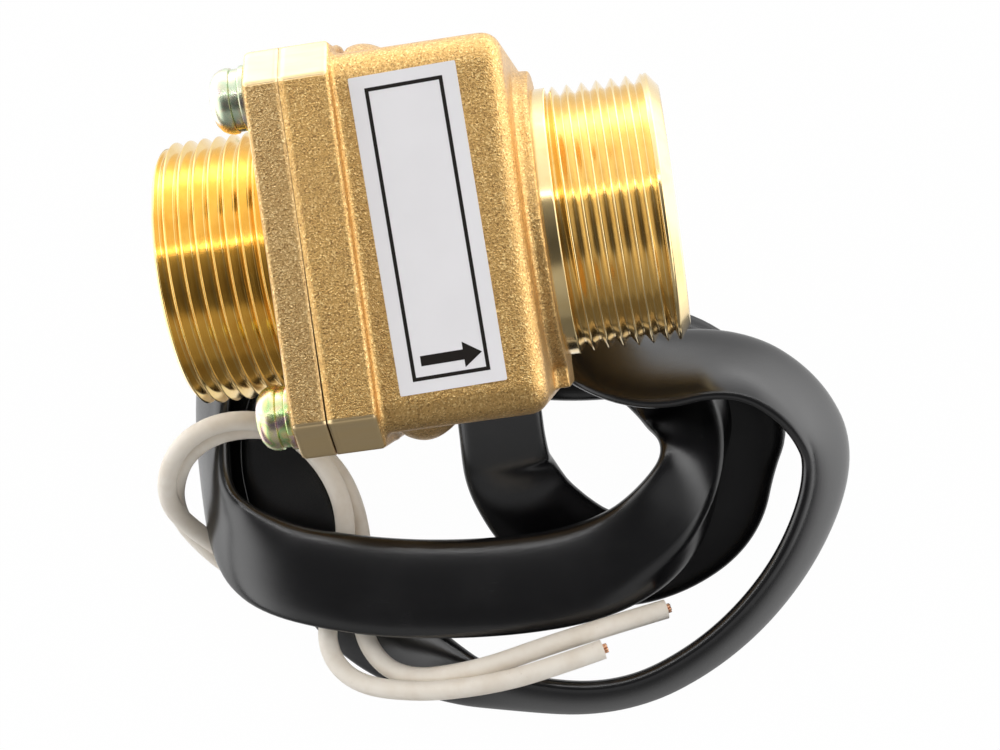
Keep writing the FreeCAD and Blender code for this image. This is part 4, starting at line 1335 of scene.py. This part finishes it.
class Finish(Enum):
    """The finishes of this product, by the CAD nodes' own parts."""

    CAST = CastBrass("cast_brass_body")
    COVER = CastBrass("cast_brass_cover", colour=(0.60, 0.385, 0.155), bright=(0.92, 0.70, 0.36))
    CUT_INLET = CutBrass("cut_brass_inlet", (0.92, 0.67, 0.27), (0.84, 0.55, 0.18))
    CUT_OUTLET = CutBrass("cut_brass_outlet", (0.92, 0.71, 0.36), (0.84, 0.60, 0.26))
    ZINC = PassivatedZinc("passivated_zinc")
    SPRING = Steel("spring_wire", (0.60, 0.60, 0.61), 0.18)
    STAINLESS = Steel("turned_stainless", (0.66, 0.66, 0.67), 0.2)
    SOLDER = Steel("solder", (0.70, 0.70, 0.72), 0.3)
    NICKEL = Steel("nickel_iron", (0.66, 0.62, 0.55), 0.25)
    MAGNET = Steel("sintered_magnet", (0.16, 0.16, 0.17), 0.45)
    COPPER = Steel("bare_copper", (0.80, 0.45, 0.28), 0.25)
    RUBBER = Moulded("black_nitrile", (0.02, 0.02, 0.02), 0.55, 0.3, 0.01, 0.3)
    FLUORO = Moulded("white_fluoropolymer", (0.82, 0.82, 0.80), 0.42, 0.6, 0.004, 0.1)
    ACETAL = Moulded("natural_acetal", (0.80, 0.79, 0.74), 0.36, 0.8, 0.006, 0.15)
    BOARD = Moulded("board_green", (0.04, 0.17, 0.08), 0.4, 0.4, 0.01, 0.3)
    RESIN = Moulded("potting_resin", (0.018, 0.018, 0.019), 0.28, 1.2, 0.03, 0.3)
    GLASS = Glass("reed_glass_green")
    SLEEVE = SleeveSkin("sleeve_black")
    WIRE = Insulation("insulation_white")
    FILM = LabelFilm("label_white")
    INK = LabelFilm("label_black", (0.010, 0.0075, 0.006), (0.016, 0.012, 0.010), 0.5, 0.2)


@dataclass
class FinishShelf:
    """Builds each finish once."""

    made: dict

    def get(self, finish: Finish) -> bpy.types.Material:
        """The material of a finish."""
        if finish not in self.made:
            self.made[finish] = finish.value.build()
        return self.made[finish]


@dataclass
class InnerParts:
    """CAD nodes whose shape is right and that only need their finish."""

    finishes: tuple[tuple[str, Finish], ...] = (
        ("cover_oring", Finish.RUBBER), ("seat_ring", Finish.FLUORO), ("poppet", Finish.ACETAL),
        ("seal_disc", Finish.RUBBER), ("guide_stem", Finish.STAINLESS), ("magnet_ring", Finish.MAGNET),
        ("magnet_keeper", Finish.STAINLESS), ("stem_clip", Finish.SPRING), ("outlet_spider", Finish.ACETAL),
        ("guide_bush", Finish.FLUORO), ("retaining_ring", Finish.SPRING), ("reed_glass", Finish.GLASS),
        ("reed_blades", Finish.NICKEL), ("reed_board", Finish.BOARD), ("inner_cores", Finish.WIRE),
        ("solder_pads", Finish.SOLDER), ("pocket_potting", Finish.RESIN),
    )

    def dress(self, shelf: FinishShelf) -> None:
        """Give each node its material slot."""
        for node, finish in self.finishes:
            item = frame["nodes"][node]
            material = shelf.get(finish)
            if not item.material_slots:
                item.data.materials.append(material)
            for slot in item.material_slots:
                slot.material = material
            LOG.info("%s: %s", node, material.name)


@dataclass
class Studio:
    """White floor, surroundings of uneven light and the camera of the photograph.

    The levels are light strengths by direction, in degrees about X from straight up, and the floor's
    lights are what mirrored rays see of it, by place in millimetres.
    """

    camera_at: tuple = (0.073727, -0.010130, 0.314854)
    right: tuple = (0.98729, -0.13902, -0.07707)
    above: tuple = (0.13539, 0.98950, -0.05059)
    back: tuple = (0.08329, 0.03951, 0.99574)
    lens: float = 72.0
    sky_top: float = 9.0
    sky_levels: tuple[tuple[float, float], ...] = (
        (-90, 0.26), (-70, 0.34), (-54, 0.44), (-43, 0.46), (-35, 0.11), (-20, 0.08),
        (-8, 0.11), (2, 0.17), (12, 0.25), (21.5, 0.36), (22.2, 8.5), (23.8, 8.5),
        (24.5, 1.15), (34, 1.15), (45, 1.20), (60, 1.35), (75, 1.7), (90, 2.3),
    )
    sky_sides: tuple[tuple[float, float, float, float], ...] = (
        (2.4, 0.55, 0.95, 1.0), (2.2, 0.55, 0.95, -1.0),
    )
    floor_size: float = 3.0
    floor_shade: float = 0.9
    floor_glow: float = 0.985
    front_light: tuple[float, float, float] = (0.16, -112.0, -35.0)
    far_light: tuple[float, float, float] = (1.2, 45.0, 220.0)
    side_lights: tuple[tuple[float, float, float, float, float], ...] = (
        (1.3, 100.0, 150.0, -80.0, -20.0), (1.2, -14.0, -60.0, -100.0, -40.0),
    )

    def camera(self) -> None:
        """Set the camera where the photograph was taken."""
        data = bpy.data.cameras.new("camera")
        data.lens, data.sensor_width, data.sensor_fit = self.lens, 36.0, "HORIZONTAL"
        data.clip_start, data.clip_end = 0.01, 20.0
        item = bpy.data.objects.new("camera", data)
        turn = Matrix((self.right, self.above, self.back)).transposed()
        item.matrix_world = Matrix.Translation(self.camera_at) @ turn.to_4x4()
        bpy.context.scene.collection.objects.link(item)
        bpy.context.scene.camera = item

    def _white(self, name: str, shade: float, glow: float) -> bpy.types.Material:
        """Floor that the camera sees almost plain white, with little shadow, and mirrored rays at 0.16 to 3.5."""
        sheet = FinishSheet(name)
        path = sheet.node("ShaderNodeLightPath")
        seen = Signal(sheet, path.outputs["Is Camera Ray"])
        mirrored = Signal(sheet, path.outputs["Is Glossy Ray"]).maximum(
            Signal(sheet, path.outputs["Is Transmission Ray"])
        )
        matt = sheet.node("ShaderNodeBsdfDiffuse", None, {"Color": (shade, shade, shade)})
        x, y, _ = sheet.axes()
        least, low, high = self.front_light
        extra, far_low, far_high = self.far_light
        sweep = least + (1.0 - least) * y.step(low, high) + extra * y.step(far_low, far_high)
        for light, x_low, x_high, y_low, y_high in self.side_lights:
            sweep = sweep + light * x.step(x_low, x_high) * y.step(y_low, y_high)
        strength = seen + mirrored * sweep
        light = sheet.node("ShaderNodeEmission", None, {"Color": (1.0, 1.0, 1.0), "Strength": strength})
        mixed = sheet.node("ShaderNodeMixShader", None, {0: seen * glow + mirrored})
        sheet.tree.links.new(matt.outputs[0], mixed.inputs[1])
        sheet.tree.links.new(light.outputs[0], mixed.inputs[2])
        sheet.tree.links.new(mixed.outputs[0], sheet.output.inputs["Surface"])
        return sheet.material

    def floor(self) -> None:
        """Large white floor just under the cable."""
        size = self.floor_size
        corners = np.array([(-size, -size, 0), (size, -size, 0), (size, size, 0), (-size, size, 0)], float)
        corners[:, 2] = FLOOR_Z - 0.0002
        item = MeshShop.from_arrays("floor", corners, [(0, 1, 2, 3)], smooth=False)
        MeshShop.dress(item, self._white("floor_white", self.floor_shade, self.floor_glow))

    def sky(self) -> None:
        """Uneven surroundings: a thin bright strip, pale beyond it and at both sides, dim elsewhere."""
        sheet = FinishSheet("studio", sky=True)
        direction = sheet.node("ShaderNodeTexCoord").outputs["Generated"]
        way = sheet.node("ShaderNodeSeparateXYZ", None, {0: direction})
        x, y, z = (Signal(sheet, way.outputs[k]) for k in range(3))
        lean = sheet.maths("ARCTAN2", y, z) * (1.0 / math.pi) + 0.5
        stops = [((angle + 90.0) / 180.0, (level / self.sky_top,) * 3) for angle, level in self.sky_levels]
        tone = sheet.ramp(lean, stops)
        for level, low, high, way_x in self.sky_sides:
            tone = sheet.blend((x * way_x).step(low, high), tone, (level / self.sky_top,) * 3)
        soft = sheet.node("ShaderNodeBackground", None, {"Color": tone, "Strength": self.sky_top})
        white = sheet.node("ShaderNodeBackground", None, {"Color": (1.0, 1.0, 1.0), "Strength": 1.0})
        seen = sheet.node("ShaderNodeLightPath").outputs["Is Camera Ray"]
        both = sheet.node("ShaderNodeMixShader", None, {0: seen, 1: soft.outputs[0], 2: white.outputs[0]})
        sheet.tree.links.new(both.outputs[0], sheet.output.inputs["Surface"])
        bpy.context.scene.world = sheet.material

    def build(self) -> None:
        """Set up the whole studio."""
        self.camera()
        self.floor()
        self.sky()
        bpy.context.scene.view_settings.view_transform = "Standard"


COLLAR = (
    (-2.9, 20.0), (-2.3, 23.35), (-2.1, 23.62), (-1.8, 23.6),
    (-1.1, 22.7), (-0.35, 21.5), (-0.1, 20.96), (0.0, 20.955),
)
BODY_LUMPS = ((36.0, -28.0, 10.0, 5.5, 2.6), (34.5, 28.0, 14.0, 5.0, 2.2))


def main() -> None:
    """Build the looks in order and report each piece."""
    logging.basicConfig(level=logging.INFO, format="%(name)s %(message)s")
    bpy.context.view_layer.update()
    shelf = FinishShelf({})
    Studio().build()
    FlatSleeve().build(shelf.get(Finish.SLEEVE))
    Lead("lead_upper", "wire_a", WIRE_A, 0.16).build(shelf.get(Finish.WIRE))
    Lead("lead_lower", "wire_b", WIRE_B, 0.169).build(shelf.get(Finish.WIRE))
    StrandedTips().build(shelf.get(Finish.COPPER))
    body = Casting("cast_body", "outlet_body", 0.0, 58.6, lumps=BODY_LUMPS)
    body.build(shelf.get(Finish.CAST), "cast_brass")
    cover = Casting("cast_cover", "inlet_cover", 18.7, 40.0, joint_side=-1.0)
    cover.build(shelf.get(Finish.COVER), "cover_brass")
    outlet = PipeThread("outlet_thread_cut", 60.6, 78.2, collar=COLLAR, land=2.0)
    outlet.build(shelf.get(Finish.CUT_OUTLET))
    inlet = PipeThread("inlet_thread_cut", 18.7, 0.0, mouth_x=0.85, mouth_r=1.1)
    inlet.build(shelf.get(Finish.CUT_INLET))
    FlangeScrews().build(shelf.get(Finish.ZINC))
    FlowLabel().build(shelf.get(Finish.FILM), shelf.get(Finish.INK))
    ReturnSpring().build(shelf.get(Finish.SPRING))
    InnerParts().dress(shelf)


if __name__ == "__main__":
    main()
